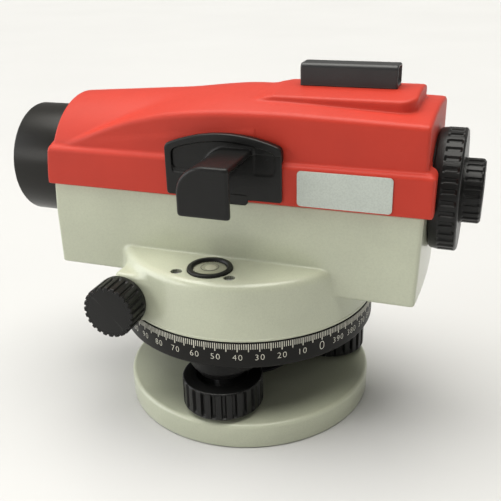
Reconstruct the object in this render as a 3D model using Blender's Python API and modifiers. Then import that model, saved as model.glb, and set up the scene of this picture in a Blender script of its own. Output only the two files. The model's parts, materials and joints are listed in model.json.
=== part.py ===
"""Automatic level: a surveying instrument with a self-levelling line of sight.

Frame: the origin is the centre of the base plate's underside, +Z up, +X from
the objective towards the eyepiece, -Y the side with the circular vial.
Driving dimensions are in millimetres and MM turns them into metres.
"""

import math

import bmesh
import bpy
from mathutils import Matrix, Vector

MM = 0.001

# Base and levelling
BASE_R = 60.0
BASE_T = 12.0
THREAD_R = 7.2
FOOT_RHO = 42.5
FOOT_ANGLES = {"front": -87.0, "right": 33.0, "left": 153.0}
FOOT_KNOB_R = 18.4
FOOT_KNOB_Z = (14.2, 28.4)
FOOT_SPINDLE_R = 4.0
TRIBRACH_Z = (33.0, 41.0)

# Horizontal circle and drum
RING_R = 60.7
RING_Z = (41.9, 54.4)
DRUM_BOTTOM = 54.8
SHELF_TOP = 80.2
SHELF_R = 58.2
SKIRT_R = 60.5
HUB_R = 46.5
CAVITY_R = 43.5

# Telescope body
AXIS_Z = 110.4
BOX_X = (-84.0, 85.3)
BOX_Y = 31.0
BOX_Z = (67.4, 107.4)
BOX_WALL = 2.8
BAND_X = (-85.6, 89.0)
BAND_Y = 32.8
BAND_Z = (107.7, 125.2)
COVER_X = (-81.8, 85.8)
COVER_Y = 30.3
COVER_WALL = 2.4
NOSE_X = (-82.0, 4.0)
NOSE_R = (33.6, 39.6)
PAD_TOP = 150.1
PAD_CROWN = 2.2

# Tangent drive
TANGENT_X = -40.0
TANGENT_Z = 63.7
TANGENT_R = 11.85
TANGENT_Y = (52.3, 65.6)
WHEEL_R = 36.4
WHEEL_TEETH = 72

# Optics
BARREL_R = 26.6
BARREL_X = (-108.2, -70.0)
COVER_RING_R = 25.9
COVER_RING_X = (86.4, 97.6)
EYE_RING_R = 13.6
EYE_RING_X = (92.5, 105.9)

# Focusing drive
FOCUS_X = -18.0
FOCUS_Z = 97.0
FOCUS_R = 15.5
FOCUS_Y = (36.4, 65.6)

# Circular vial
VIAL = (-1.0, -43.7)
VIAL_R = 9.8


# --------------------------------------------------------------------- scene
for old in list(bpy.data.objects):
    bpy.data.objects.remove(old, do_unlink=True)

PARTS = bpy.data.collections.new("automatic_level")
CUTTERS = bpy.data.collections.new("cutters")
bpy.context.scene.collection.children.link(PARTS)
bpy.context.scene.collection.children.link(CUTTERS)
CUTTERS.hide_render = True


def material(name, colour, roughness=0.5, metallic=0.0, alpha=1.0):
    made = bpy.data.materials.new(name)
    made.use_nodes = True
    shader = made.node_tree.nodes["Principled BSDF"]
    shader.inputs["Base Color"].default_value = (*colour, 1.0)
    shader.inputs["Roughness"].default_value = roughness
    shader.inputs["Metallic"].default_value = metallic
    if alpha < 1.0:
        shader.inputs["Transmission Weight"].default_value = 1.0
    return made


GREY_PAINT = (0.45, 0.47, 0.38)
RED_PLASTIC = (0.62, 0.06, 0.04)
BLACK_PLASTIC = (0.018, 0.018, 0.02)
STEEL = (0.55, 0.55, 0.56)
BRASS = (0.6, 0.42, 0.16)
ALUMINIUM = (0.7, 0.71, 0.72)
GLASS = (0.9, 0.95, 0.93)


def place(obj, group=PARTS):
    group.objects.link(obj)
    if group is CUTTERS:
        obj.hide_render = True
        obj.display_type = "WIRE"
    return obj


def finish(obj, look):
    """Give the object its own material and shading."""
    name, colour, roughness, metallic, alpha = look
    obj.data.materials.clear()
    obj.data.materials.append(material(f"{obj.name}_{name}", colour, roughness, metallic, alpha))
    return obj


PAINT = ("paint", GREY_PAINT, 0.35, 0.0, 1.0)
RED = ("plastic", RED_PLASTIC, 0.4, 0.0, 1.0)
BLACK = ("plastic", BLACK_PLASTIC, 0.45, 0.0, 1.0)
BLACK_PAINT = ("black_paint", BLACK_PLASTIC, 0.35, 0.0, 1.0)
METAL = ("steel", STEEL, 0.3, 1.0, 1.0)
YELLOW = ("brass", BRASS, 0.3, 1.0, 1.0)
LIGHT = ("aluminium", ALUMINIUM, 0.35, 1.0, 1.0)
CLEAR = ("glass", GLASS, 0.05, 0.0, 0.3)

# ----------------------------------------------------------------- builders
def polar(radius, degrees):
    a = math.radians(degrees)
    return radius * math.cos(a), radius * math.sin(a)


TURN = {
    "Z": Matrix.Identity(4),
    "X": Matrix.Rotation(math.radians(90), 4, "Y"),
    "Y": Matrix.Rotation(math.radians(-90), 4, "X"),
}


def from_bmesh(name, bm, group=PARTS, at=(0, 0, 0), axis="Z"):
    mesh = bpy.data.meshes.new(name)
    bm.to_mesh(mesh)
    bm.free()
    obj = bpy.data.objects.new(name, mesh)
    obj.matrix_world = Matrix.Translation(Vector(at) * MM) @ TURN[axis]
    return place(obj, group)


def turned(name, profile, steps=48, at=(0, 0, 0), axis="Z", closed=True, group=PARTS):
    """A Screw-modified profile of (radius, height) points in mm, outer side
    first and top to bottom. With closed=False it starts and ends on the axis."""
    mesh = bpy.data.meshes.new(name)
    points = [(r * MM, 0.0, z * MM) for r, z in profile]
    edges = [(i, i + 1) for i in range(len(points) - 1)]
    if closed:
        edges.append((len(points) - 1, 0))
    mesh.from_pydata(points, edges, [])
    obj = bpy.data.objects.new(name, mesh)
    obj.matrix_world = Matrix.Translation(Vector(at) * MM) @ TURN[axis]
    place(obj, group)
    screw = obj.modifiers.new("turn", "SCREW")
    screw.axis = "Z"
    screw.angle = math.radians(360)
    screw.steps = steps
    screw.render_steps = steps
    screw.use_merge_vertices = True
    screw.merge_threshold = 1e-6
    screw.use_normal_calculate = False
    screw.use_smooth_shade = False
    return obj


def block(name, low, high, group=PARTS, bevel=0.0, segments=2, which=None):
    """A box between two corners in mm. which(edge) chooses the edges to round."""
    bm = bmesh.new()
    bmesh.ops.create_cube(bm, size=1.0)
    size = [(h - l) * MM for l, h in zip(low, high)]
    centre = [(h + l) / 2 for l, h in zip(low, high)]
    bmesh.ops.scale(bm, vec=size, verts=bm.verts)
    if bevel:
        edges = [e for e in bm.edges if which is None or which(e)]
        bmesh.ops.bevel(
            bm, geom=edges, offset=bevel * MM, segments=segments, profile=0.5, affect="EDGES"
        )
    return from_bmesh(name, bm, group, centre)


def rod(name, radius, start, end, axis="Z", at=(0, 0, 0), segments=24, group=PARTS, radius2=None):
    """A cylinder or cone along an axis, from start to end in mm."""
    bm = bmesh.new()
    bmesh.ops.create_cone(
        bm,
        cap_ends=True,
        cap_tris=False,
        segments=segments,
        radius1=radius * MM,
        radius2=(radius if radius2 is None else radius2) * MM,
        depth=(end - start) * MM,
    )
    bmesh.ops.translate(bm, vec=(0, 0, (start + end) / 2 * MM), verts=bm.verts)
    return from_bmesh(name, bm, group, at, axis)


def fluted(name, outer, inner, count, low, high, axis="Z", at=(0, 0, 0), group=PARTS, ridge=0.56):
    """A solid round grip with raised ridges along its axis."""
    points = []
    step = 360.0 / count
    for i in range(count):
        a = i * step
        slope = 0.09 * step
        points += [
            polar(outer, a - ridge * step / 2), polar(outer, a + ridge * step / 2),
            polar(inner, a + ridge * step / 2 + slope), polar(inner, a + step - ridge * step / 2 - slope),
        ]
    obj = outline(name, points, 0.0, high - low, group)
    obj.matrix_world = Matrix.Translation(Vector(at) * MM) @ TURN[axis] @ Matrix.Translation((0, 0, (low + high) / 2 * MM))
    return obj


def outline(name, points, low, high, group=PARTS):
    """A flat 2D outline filled and extruded from z=low to z=high, as a mesh."""
    curve = bpy.data.curves.new(name + "_outline", "CURVE")
    curve.dimensions = "2D"
    curve.fill_mode = "BOTH"
    curve.extrude = (high - low) / 2 * MM
    spline = curve.splines.new("POLY")
    spline.points.add(len(points) - 1)
    for point, (x, y) in zip(spline.points, points):
        point.co = (x * MM, y * MM, 0, 1)
    spline.use_cyclic_u = True
    drawn = bpy.data.objects.new(name + "_outline", curve)
    bpy.context.scene.collection.objects.link(drawn)
    drawn.location.z = (low + high) / 2 * MM
    bpy.context.view_layer.update()
    graph = bpy.context.evaluated_depsgraph_get()
    mesh = bpy.data.meshes.new_from_object(drawn.evaluated_get(graph))
    bm = bmesh.new()
    bm.from_mesh(mesh)
    bmesh.ops.remove_doubles(bm, verts=bm.verts, dist=1e-6)
    bmesh.ops.recalc_face_normals(bm, faces=bm.faces)
    bm.to_mesh(mesh)
    bm.free()
    obj = bpy.data.objects.new(name, mesh)
    obj.matrix_world = drawn.matrix_world.copy()
    bpy.data.objects.remove(drawn, do_unlink=True)
    bpy.data.curves.remove(curve)
    return place(obj, group)


def rounded(x0, x1, y0, y1, r, steps=5):
    """Outline points of a rectangle with round corners."""
    points = []
    for cx, cy, a0 in ((x1 - r, y1 - r, 0), (x0 + r, y1 - r, 90), (x0 + r, y0 + r, 180), (x1 - r, y0 + r, 270)):
        for i in range(steps + 1):
            a = math.radians(a0 + 90 * i / steps)
            points.append((cx + r * math.cos(a), cy + r * math.sin(a)))
    return points


def loft(name, sections, group=PARTS):
    """Faces between sections of equal length, given in mm, with capped ends."""
    bm = bmesh.new()
    rows = [[bm.verts.new(Vector(p) * MM) for p in section] for section in sections]
    n = len(sections[0])
    for a, b in zip(rows, rows[1:]):
        for i in range(n):
            bm.faces.new((a[i], a[(i + 1) % n], b[(i + 1) % n], b[i]))
    bm.faces.new(rows[0][::-1])
    bm.faces.new(rows[-1])
    bmesh.ops.recalc_face_normals(bm, faces=bm.faces)
    return from_bmesh(name, bm, group)


def boolean(obj, other, operation="DIFFERENCE"):
    made = obj.modifiers.new(f"{operation.lower()}_{other.name}"[:60], "BOOLEAN")
    made.operation = operation
    made.solver = "EXACT"
    made.object = other
    return obj


def cut(obj, *others):
    for other in others:
        boolean(obj, other, "DIFFERENCE")
    return obj


def join(obj, *others):
    for other in others:
        boolean(obj, other, "UNION")
    return obj


def parented(obj, parent):
    world = obj.matrix_world.copy()
    bpy.context.view_layer.update()
    obj.parent = parent
    obj.matrix_parent_inverse = parent.matrix_world.inverted()
    obj.matrix_world = world
    return obj


def pivot(name, at, axis="Z"):
    empty = bpy.data.objects.new(name, None)
    empty.empty_display_size = 0.01
    empty.matrix_world = Matrix.Translation(Vector(at) * MM) @ TURN[axis]
    PARTS.objects.link(empty)
    return empty


# ---------------------------------------------------------------- base plate
base_plate = turned(
    "base_plate",
    [
        (THREAD_R, 13.2), (15.5, 13.2), (17.5, BASE_T), (BASE_R - 2.2, BASE_T),
        (BASE_R - 0.65, BASE_T - 0.65), (BASE_R, BASE_T - 2.2), (BASE_R, 0.8),
        (BASE_R - 0.8, 0.0), (48.0, 0.0), (47.0, 2.0), (16.5, 2.0), (15.5, 0.0), (THREAD_R, 0.0),
    ],
    steps=56,
)
FEET = {side: polar(FOOT_RHO, angle) for side, angle in FOOT_ANGLES.items()}
for side, (x, y) in FEET.items():
    cut(base_plate, rod(f"cut_socket_{side}", 5.7, 6.9, 20.0, at=(x, y, 0), segments=16, group=CUTTERS))
finish(base_plate, PAINT)

# --------------------------------------------------------------- foot screws
for side, (x, y) in FEET.items():
    low, high = FOOT_KNOB_Z
    knob = fluted(f"foot_knob_{side}", FOOT_KNOB_R, FOOT_KNOB_R - 1.1, 24, low, high, at=(x, y, 0))
    cut(knob, rod(f"cut_knob_bore_{side}", 4.35, low - 1, high + 1, at=(x, y, 0), segments=18, group=CUTTERS))
    cut(knob, rod(f"cut_knob_recess_{side}", 11.8, high - 1.2, high + 1, at=(x, y, 0), segments=24, group=CUTTERS))
    finish(knob, BLACK)
    spindle = turned(
        f"foot_spindle_{side}",
        [
            (0, 38.6), (3.4, 38.6), (FOOT_SPINDLE_R, 38.0), (FOOT_SPINDLE_R, 17.2), (3.2, 16.6),
            (3.2, 14.8), (4.3, 13.8), (5.0, 12.4), (4.5, 10.2), (3.2, 8.5), (0, 7.5),
        ],
        steps=14,
        at=(x, y, 0),
        closed=False,
    )
    finish(spindle, METAL)

# -------------------------------------------------------------- spring plate
spring_plate = turned(
    "spring_plate",
    [(9.0, 15.9), (23.0, 15.9), (23.0, 14.9), (9.0, 14.9)],
    steps=36,
)
finish(spring_plate, METAL)

# ------------------------------------------------------------------ tribrach
low, high = TRIBRACH_Z
lobes = []
for side in ("right", "left", "front"):
    angle = FOOT_ANGLES[side] % 360
    for i in range(7):
        a = angle + (i - 3) * 29.0
        fx, fy = FEET[side]
        lobes.append((fx + 13.2 * math.cos(math.radians(a)), fy + 13.2 * math.sin(math.radians(a))))
    lobes.append(polar(27.5, angle + 60))
tribrach = outline("tribrach", lobes, low, high)
for side, (x, y) in FEET.items():
    join(tribrach, rod(f"join_boss_{side}", 11.4, 30.6, low + 0.6, at=(x, y, 0), segments=24, group=CUTTERS))
join(tribrach, rod("join_collar", 11.5, low + 1, 50.0, segments=28, group=CUTTERS))
join(tribrach, rod("join_skirt", 20.0, 29.6, low + 0.6, segments=28, group=CUTTERS))
cut(tribrach, rod("cut_spindle_seat", 8.35, 28.0, 52.0, segments=28, group=CUTTERS))
for side, (x, y) in FEET.items():
    cut(tribrach, rod(f"cut_nut_{side}", 6.4, 29.0, 43.0, at=(x, y, 0), segments=18, group=CUTTERS))
finish(tribrach, BLACK_PAINT)
for side, (x, y) in FEET.items():
    nut = turned(
        f"foot_nut_{side}",
        [(4.6, 40.7), (6.1, 40.7), (6.1, 31.2), (4.6, 31.2)],
        steps=18,
        at=(x, y, 0),
    )
    finish(nut, YELLOW)

vertical_spindle = turned(
    "vertical_spindle",
    [
        (0, 77.6), (6.9, 77.6), (8.0, 76.5), (8.0, 31.4), (0, 31.4),
    ],
    steps=28,
    closed=False,
)
finish(vertical_spindle, METAL)

# ---------------------------------------------------------- graduated circle
low, high = RING_Z
graduated_circle = turned(
    "graduated_circle",
    [
        (57.2, high), (RING_R, high), (RING_R, low + 1.2), (RING_R - 1.2, low), (12.0, low), (12.0, 49.6),
        (15.5, 49.6), (15.5, low + 2.6), (57.2, low + 2.6),
    ],
    steps=60,
)
finish(graduated_circle, BLACK)

# --------------------------------------------------------------- worm wheel
teeth = []
for i in range(WHEEL_TEETH):
    a = 360.0 * i / WHEEL_TEETH
    step = 360.0 / WHEEL_TEETH
    teeth += [polar(WHEEL_R - 1.8, a), polar(WHEEL_R, a + 0.35 * step), polar(WHEEL_R, a + 0.65 * step)]
worm_wheel = outline("worm_wheel", teeth, 60.2, 67.2)
cut(worm_wheel, rod("cut_wheel_bore", 8.4, 59.0, 69.0, segments=28, group=CUTTERS))
finish(worm_wheel, YELLOW)

# -------------------------------------------------------------- main housing
main_housing = block(
    "main_housing",
    (BOX_X[0], -BOX_Y, BOX_Z[0]),
    (BOX_X[1], BOX_Y, BOX_Z[1]),
    bevel=2.0,
    segments=2,
    which=lambda e: not all(v.co.z > 0 for v in e.verts),
)
shelf = turned(
    "join_shelf",
    [
        (0, SHELF_TOP), (SHELF_R - 2.4, SHELF_TOP), (SHELF_R - 0.7, SHELF_TOP - 0.7),
        (SHELF_R, SHELF_TOP - 2.4), (SKIRT_R - 0.4, 56.0), (0, 56.0),
    ],
    steps=60,
    closed=False,
    group=CUTTERS,
)
for sign in (-1, 1):
    a, b = sorted((sign * 27.0, sign * 51.4))
    bump = block(f"join_bump_{sign}", (-44.2, a, 57.2), (-26.5, b, 75.8), bevel=2.2, segments=2, group=CUTTERS)
    join(shelf, bump)
cut(shelf, block("cut_between", (-80, -29.0, 68.2), (80, 29.0, 90), group=CUTTERS))
join(main_housing, shelf)
join(
    main_housing,
    turned(
        "join_skirt_flange",
        [
            (0, 68.5), (HUB_R, 68.5), (HUB_R, 58.2), (50.0, 57.6), (SKIRT_R, 55.7),
            (SKIRT_R, DRUM_BOTTOM), (0, DRUM_BOTTOM),
        ],
        steps=60,
        closed=False,
        group=CUTTERS,
    ),
)
for sign in (-1, 1):
    boss = rod(
        f"join_tangent_boss_{sign}", 8.6, min(sign * 22.0, sign * 51.4), max(sign * 22.0, sign * 51.4),
        axis="Y", at=(TANGENT_X, 0, TANGENT_Z), segments=20, group=CUTTERS,
    )
    join(main_housing, boss)
# inside of the box, open at the top
cut(
    main_housing,
    block(
        "cut_box_inside",
        (BOX_X[0] + BOX_WALL, -BOX_Y + BOX_WALL, 82.0),
        (BOX_X[1] - BOX_WALL, BOX_Y - BOX_WALL, 120.0),
        group=CUTTERS,
    ),
)
cut(
    main_housing,
    turned(
        "cut_drum_inside",
        [
            (0, 79.0), (8.4, 79.0), (8.4, 69.4), (CAVITY_R - 2.0, 69.4), (CAVITY_R, 67.4),
            (CAVITY_R, 50.0), (0, 50.0),
        ],
        steps=40,
        closed=False,
        group=CUTTERS,
    ),
)
for sign in (-1, 1):
    # the box floor is thin away from the hub
    x0, x1 = (BOX_X[0] + BOX_WALL, -46.0) if sign < 0 else (48.0, BOX_X[1] - BOX_WALL)
    cut(main_housing, block(f"cut_floor_{sign}", (x0, -BOX_Y + BOX_WALL, 70.6), (x1, BOX_Y - BOX_WALL, 83.0), group=CUTTERS))
cut(main_housing, rod("cut_tangent_bore", 2.85, -56.0, 56.0, axis="Y", at=(TANGENT_X, 0, TANGENT_Z), segments=16, group=CUTTERS))
cut(main_housing, rod("cut_worm_pocket", 3.7, -8.5, 8.5, axis="Y", at=(TANGENT_X, 0, TANGENT_Z), segments=16, group=CUTTERS))
cut(main_housing, rod("cut_barrel_notch", BARREL_R + 0.4, -95.0, -75.0, axis="X", at=(0, 0, AXIS_Z), segments=40, group=CUTTERS))
cut(main_housing, rod("cut_eyepiece_notch", 22.4, 75.0, 95.0, axis="X", at=(0, 0, AXIS_Z), segments=36, group=CUTTERS))
cut(main_housing, rod("cut_focus_bore", 2.9, 20.0, 40.0, axis="Y", at=(FOCUS_X, 0, FOCUS_Z), segments=16, group=CUTTERS))
cut(main_housing, rod("cut_vial_pocket", VIAL_R + 0.3, 74.6, 90.0, at=(*VIAL, 0), segments=28, group=CUTTERS))
VIAL_SCREWS = {"left": (-13.8, -50.2), "right": (10.2, -49.8)}
for side, (x, y) in VIAL_SCREWS.items():
    cut(main_housing, rod(f"cut_vial_screw_{side}", 2.65, 74.0, 90.0, at=(x, y, 0), segments=14, group=CUTTERS))
COVER_SCREWS = {"a": (-74, -22), "b": (-74, 22), "c": (74, -22), "d": (74, 22)}
for tag, (x, y) in COVER_SCREWS.items():
    cut(main_housing, rod(f"cut_cover_screw_{tag}", 3.3, 60.0, 69.0, at=(x, y, 0), segments=14, group=CUTTERS))
finish(main_housing, PAINT)

for tag, (x, y) in COVER_SCREWS.items():
    screw = turned(
        f"cover_screw_{tag}",
        [(0, 68.7), (3.0, 68.7), (3.0, 67.6), (0, 67.6)],
        steps=14,
        at=(x, y, 0),
        closed=False,
    )
    finish(screw, METAL)

# ----------------------------------------------------------------- top cover
EDGE = [(-90, 118.6), (-82, 123.6), (-80, 124.5), (-66, 130.3), (-60, 132.6), (-56, 134.0), (-44, 138.2), (-28, 141.8),
        (-13, 143.6), (1, 144.5), (15, 144.7), (29, 144.7), (55, 144.2), (86, 143.2)]
CROWN = [(-90, 2.0), (-60, 2.8), (-45, 3.2), (-38, 4.0), (-20, 5.2), (0, 6.0), (20, 5.6), (50, 4.0), (86, 2.4)]


def along(table, x):
    for (x0, v0), (x1, v1) in zip(table, table[1:]):
        if x <= x1:
            t = max(0.0, (x - x0) / (x1 - x0))
            return v0 + (v1 - v0) * t
    return table[-1][1]


def cover_section(x, inset=0.0, floor=BAND_Z[0]):
    """Half-open outline of the cover's body at x, from one side to the other."""
    half = COVER_Y - inset
    edge = along(EDGE, x) - inset
    crown = along(CROWN, x)
    points = [(x, -half, floor), (x, -half, edge - 1.6), (x, -half + 0.5, edge - 0.5)]
    count = 8
    for i in range(count + 1):
        y = -(half - 1.7) + 2 * (half - 1.7) * i / count
        points.append((x, y, edge + crown * (1 - (y / half) ** 2)))
    points += [(x, half - 0.5, edge - 0.5), (x, half, edge - 1.6), (x, half, floor)]
    return points


def smooth_stations(x0, x1, count):
    return [x0 + (x1 - x0) * i / (count - 1) for i in range(count)]


top_cover = loft("top_cover", [cover_section(x) for x in smooth_stations(COVER_X[0], COVER_X[1], 20)])
nose = rod("join_nose", NOSE_R[0], NOSE_X[0], NOSE_X[1], axis="X", at=(0, 0, AXIS_Z), segments=60, group=CUTTERS, radius2=NOSE_R[1])
boolean(nose, block("keep_nose", (-120, -COVER_Y + 0.15, BAND_Z[0] + 0.6), (60, COVER_Y - 0.15, 180), group=CUTTERS), "INTERSECT")
join(top_cover, nose)
band = block(
    "join_band",
    (BAND_X[0], -BAND_Y, BAND_Z[0]),
    (BAND_X[1], BAND_Y, BAND_Z[1]),
    group=CUTTERS,
    bevel=1.3,
    segments=2,
    which=lambda e: not all(v.co.z < 0 for v in e.verts),
)
join(top_cover, band)
pad_rows = []
for x, y_half, lift in (
    (9.0, 17.0, -3.4), (13.0, 18.6, -1.6), (17.5, 19.3, -0.3), (22.0, 19.6, 0.0), (70.0, 19.6, 0.0),
    (73.5, 19.0, 0.0), (76.0, 17.5, -0.1), (77.6, 15.0, -0.5),
):
    row = [(x, -y_half - 0.8, 140.0), (x, -y_half, PAD_TOP + lift - 0.8)]
    for i in range(7):
        y = -(y_half - 0.9) + 2 * (y_half - 0.9) * i / 6
        row.append((x, y, PAD_TOP + lift + PAD_CROWN * (1 - (y / 19.6) ** 2)))
    row += [(x, y_half, PAD_TOP + lift - 0.8), (x, y_half + 0.8, 140.0)]
    pad_rows.append(row)
pad = loft("join_pad", pad_rows, group=CUTTERS)
join(top_cover, pad)
inside = loft(
    "cut_cover_inside",
    [cover_section(x, COVER_WALL, 100.0) for x in smooth_stations(COVER_X[0] + 3.0, COVER_X[1] - COVER_WALL, 12)],
    group=CUTTERS,
)
nose_inside = rod(
    "join_nose_inside", NOSE_R[0] - 2.4, NOSE_X[0] + 3.0, NOSE_X[1] - 1.0, axis="X", at=(0, 0, AXIS_Z), segments=40,
    group=CUTTERS, radius2=NOSE_R[1] - 2.6,
)
boolean(nose_inside, block("keep_nose_inside", (-120, -COVER_Y + 2.7, 99), (60, COVER_Y - 2.7, 180), group=CUTTERS), "INTERSECT")
join(inside, nose_inside)
cut(top_cover, inside)
cut(top_cover, rod("cut_nose_hole", BARREL_R + 0.4, -99.0, -60.0, axis="X", at=(0, 0, AXIS_Z), segments=40, group=CUTTERS))
cut(top_cover, rod("cut_eye_hole", 22.4, 75.0, 96.0, axis="X", at=(0, 0, AXIS_Z), segments=36, group=CUTTERS))
cut(top_cover, rod("cut_ring_seat", COVER_RING_R + 0.5, COVER_RING_X[0] - 0.4, 98.0, axis="X", at=(0, 0, AXIS_Z), segments=40, group=CUTTERS))
finish(top_cover, RED)

# ---------------------------------------------------------------- peep sight
peep_sight = block(
    "peep_sight", (27.8, -5.6, 152.7), (68.6, 5.6, 161.5), bevel=1.8, segments=3,
    which=lambda e: all(v.co.z > 0 for v in e.verts) and abs(e.verts[0].co.x - e.verts[1].co.x) > 0.01,
)
cut(peep_sight, block("cut_sight_tube", (20.0, -3.8, 154.4), (75.0, 3.8, 159.8), group=CUTTERS))
finish(peep_sight, BLACK)
sight_glass = block("sight_glass", (61.5, -3.5, 154.7), (63.0, 3.5, 159.5))
finish(sight_glass, CLEAR)

# ---------------------------------------------------------------- name plate
name_plate = outline("name_plate", rounded(34.5, 73.2, -7.45, 7.45, 1.6), 0.0, 0.5)
name_plate.matrix_world = (
    Matrix.Translation(Vector((0, -BAND_Y - 0.35, 116.0)) * MM) @ Matrix.Rotation(math.radians(90), 4, "X")
)
finish(name_plate, LIGHT)

# ------------------------------------------------------------ mirror bracket
arch = []
for i in range(13):
    x = 28.6 - (28.6 + 23.4) * i / 12
    arch.append((x, 137.0 - (x - 4.0) ** 2 / 128.0))
plate = [(-23.4, 109.0), (28.6, 109.0)] + arch
mirror_bracket = outline("mirror_bracket", plate, 33.1, 35.3)
# the outline is drawn in X and Z, so it is turned to stand up facing -Y
mirror_bracket.matrix_world = (
    Matrix.Rotation(math.radians(90), 4, "X") @ Matrix.Translation(Vector((0, 0, 34.2)) * MM)
)
# the upper part reaches back to the cover's wall above the band
plate_back = outline("join_plate_back", [(-23.4, 125.8), (28.6, 125.8)] + arch, 30.7, 34.0, group=CUTTERS)
plate_back.matrix_world = Matrix.Rotation(math.radians(90), 4, "X") @ Matrix.Translation(Vector((0, 0, 32.35)) * MM)
join(mirror_bracket, plate_back)
hood = []
for i in range(7):
    a = math.radians(90 + 90 * i / 6)
    hood.append((5.6 + 11.9 * math.cos(a), 119.0 + 11.9 * math.sin(a)))
hood_outline = [(15.2, 130.9)] + hood + [(-6.3, 110.0), (15.2, 110.0)]
hood_solid = outline("join_hood", hood_outline, 34.6, 62.0, group=CUTTERS)
hood_solid.matrix_world = Matrix.Rotation(math.radians(90), 4, "X") @ Matrix.Translation(Vector((0, 0, 48.3)) * MM)
inner = []
for i in range(7):
    a = math.radians(90 + 90 * i / 6)
    inner.append((5.6 + 9.9 * math.cos(a), 119.0 + 9.9 * math.sin(a)))
inner_outline = [(25.0, 128.9)] + inner + [(-4.3, 100.0), (25.0, 100.0)]
hood_cut = outline("cut_hood", inner_outline, 35.4, 60.0, group=CUTTERS)
hood_cut.matrix_world = Matrix.Rotation(math.radians(90), 4, "X") @ Matrix.Translation(Vector((0, 0, 47.7)) * MM)
join(mirror_bracket, hood_solid)
cut(mirror_bracket, hood_cut)
finish(mirror_bracket, BLACK)

mirror = block("mirror", (-12.2, -59.6, -0.7), (12.2, -35.9, 0.7))
mirror.matrix_world = (
    Matrix.Translation(Vector((5.2, -47.75, 119.2)) * MM) @ Matrix.Rotation(math.radians(-45), 4, "Y")
)
finish(mirror, ("mirror", (0.9, 0.9, 0.9), 0.03, 1.0, 1.0))

# ------------------------------------------------------------- circular vial
vial_ring = turned(
    "vial_ring",
    [(7.4, 81.4), (9.0, 81.4), (VIAL_R, 80.7), (VIAL_R, 75.0), (7.4, 75.0)],
    steps=28,
    at=(*VIAL, 0),
)
finish(vial_ring, BLACK)
vial_glass = turned(
    "vial_glass",
    [(0, 81.3), (4.0, 81.2), (7.0, 80.6), (7.0, 75.2), (0, 75.2)],
    steps=24,
    at=(*VIAL, 0),
    closed=False,
)
finish(vial_glass, CLEAR)
for side, (x, y) in VIAL_SCREWS.items():
    vial_screw = turned(
        f"vial_screw_{side}",
        [(0, 77.2), (1.0, 77.2), (1.0, 78.8), (2.3, 78.8), (2.3, 74.3), (0, 74.3)],
        steps=14,
        at=(x, y, 0),
        closed=False,
    )
    finish(vial_screw, METAL)

# ------------------------------------------------------------- tangent drive
tangent_shaft = turned(
    "tangent_shaft",
    [
        (0, 63.0), (2.5, 63.0), (2.5, 6.5), (3.2, 6.0), (3.2, 4.4), (2.4, 3.6), (3.2, 2.8), (3.2, 1.2), (2.4, 0.4), (2.4, -0.4),
        (3.2, -1.2), (3.2, -2.8), (2.4, -3.6), (3.2, -4.4), (3.2, -6.0), (2.5, -6.5), (2.5, -63.0), (0, -63.0),
    ],
    steps=14,
    at=(TANGENT_X, 0, TANGENT_Z),
    axis="Y",
    closed=False,
)
finish(tangent_shaft, METAL)
for side, sign in (("near", -1), ("far", 1)):
    a, b = TANGENT_Y
    ends = sorted((sign * a, sign * b))
    centre = (TANGENT_X, 0, TANGENT_Z)
    knob = fluted(f"tangent_knob_{side}", TANGENT_R, TANGENT_R - 0.9, 24, ends[0], ends[1], axis="Y", at=centre)
    ends = sorted((sign * (a - 1), sign * 63.3))
    cut(knob, rod(f"cut_tangent_knob_{side}", 2.8, ends[0], ends[1], axis="Y", at=centre, segments=16, group=CUTTERS))
    finish(knob, BLACK)

# ----------------------------------------------------------------- objective
x0, x1 = BARREL_X
# profile heights run along +X; the outer side goes from the rear to the front
objective_barrel = turned(
    "objective_barrel",
    [
        (22.6, x1), (BARREL_R, x1), (BARREL_R, x0 + 1.2), (BARREL_R - 1.2, x0), (24.4, x0), (23.4, -103.0),
        (23.4, -94.0), (22.6, -93.0),
    ],
    steps=48,
    at=(0, 0, AXIS_Z),
    axis="X",
)
finish(objective_barrel, BLACK)
objective_retainer = turned(
    "objective_retainer", [(20.8, -100.4), (23.1, -100.4), (23.1, -102.8), (20.8, -102.8)], steps=32, at=(0, 0, AXIS_Z), axis="X"
)
finish(objective_retainer, BLACK_PAINT)
objective_lens_front = turned(
    "objective_lens_front",
    [(0, -94.4), (23.1, -94.8), (23.1, -98.6), (20.4, -99.2), (12, -100.4), (0, -101.2)],
    steps=28,
    at=(0, 0, AXIS_Z),
    axis="X",
    closed=False,
)
finish(objective_lens_front, CLEAR)
objective_lens_rear = turned(
    "objective_lens_rear",
    [(0, -87.6), (12, -86.6), (22.2, -84.6), (22.2, -91.6), (0, -91.6)],
    steps=28,
    at=(0, 0, AXIS_Z),
    axis="X",
    closed=False,
)
finish(objective_lens_rear, CLEAR)

# ------------------------------------------------------------------ focusing
guide_tube = turned(
    "focus_guide_tube", [(18.6, -2.0), (21.0, -2.0), (21.0, -66.0), (18.6, -66.0)], steps=36, at=(0, 0, AXIS_Z), axis="X"
)
cut(guide_tube, block("cut_guide_slot", (-23.0, 8.4, 86.0), (-13.0, 24.0, 101.2), group=CUTTERS))
finish(guide_tube, LIGHT)
focus_cell = turned(
    "focus_cell", [(15.4, -40.0), (18.2, -40.0), (18.2, -60.0), (15.4, -60.0)], steps=30, at=(0, 0, AXIS_Z), axis="X"
)
rack = block("join_rack", (-43.0, 12.6, 100.9), (-14.0, 15.4, 104.2), group=CUTTERS)
join(focus_cell, rack)
finish(focus_cell, BLACK_PAINT)
focus_lens = turned(
    "focus_lens",
    [(0, -49.2), (8, -48.6), (15.1, -46.8), (15.1, -53.2), (8, -51.4), (0, -50.8)],
    steps=24,
    at=(0, 0, AXIS_Z),
    axis="X",
    closed=False,
)
finish(focus_lens, CLEAR)
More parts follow.
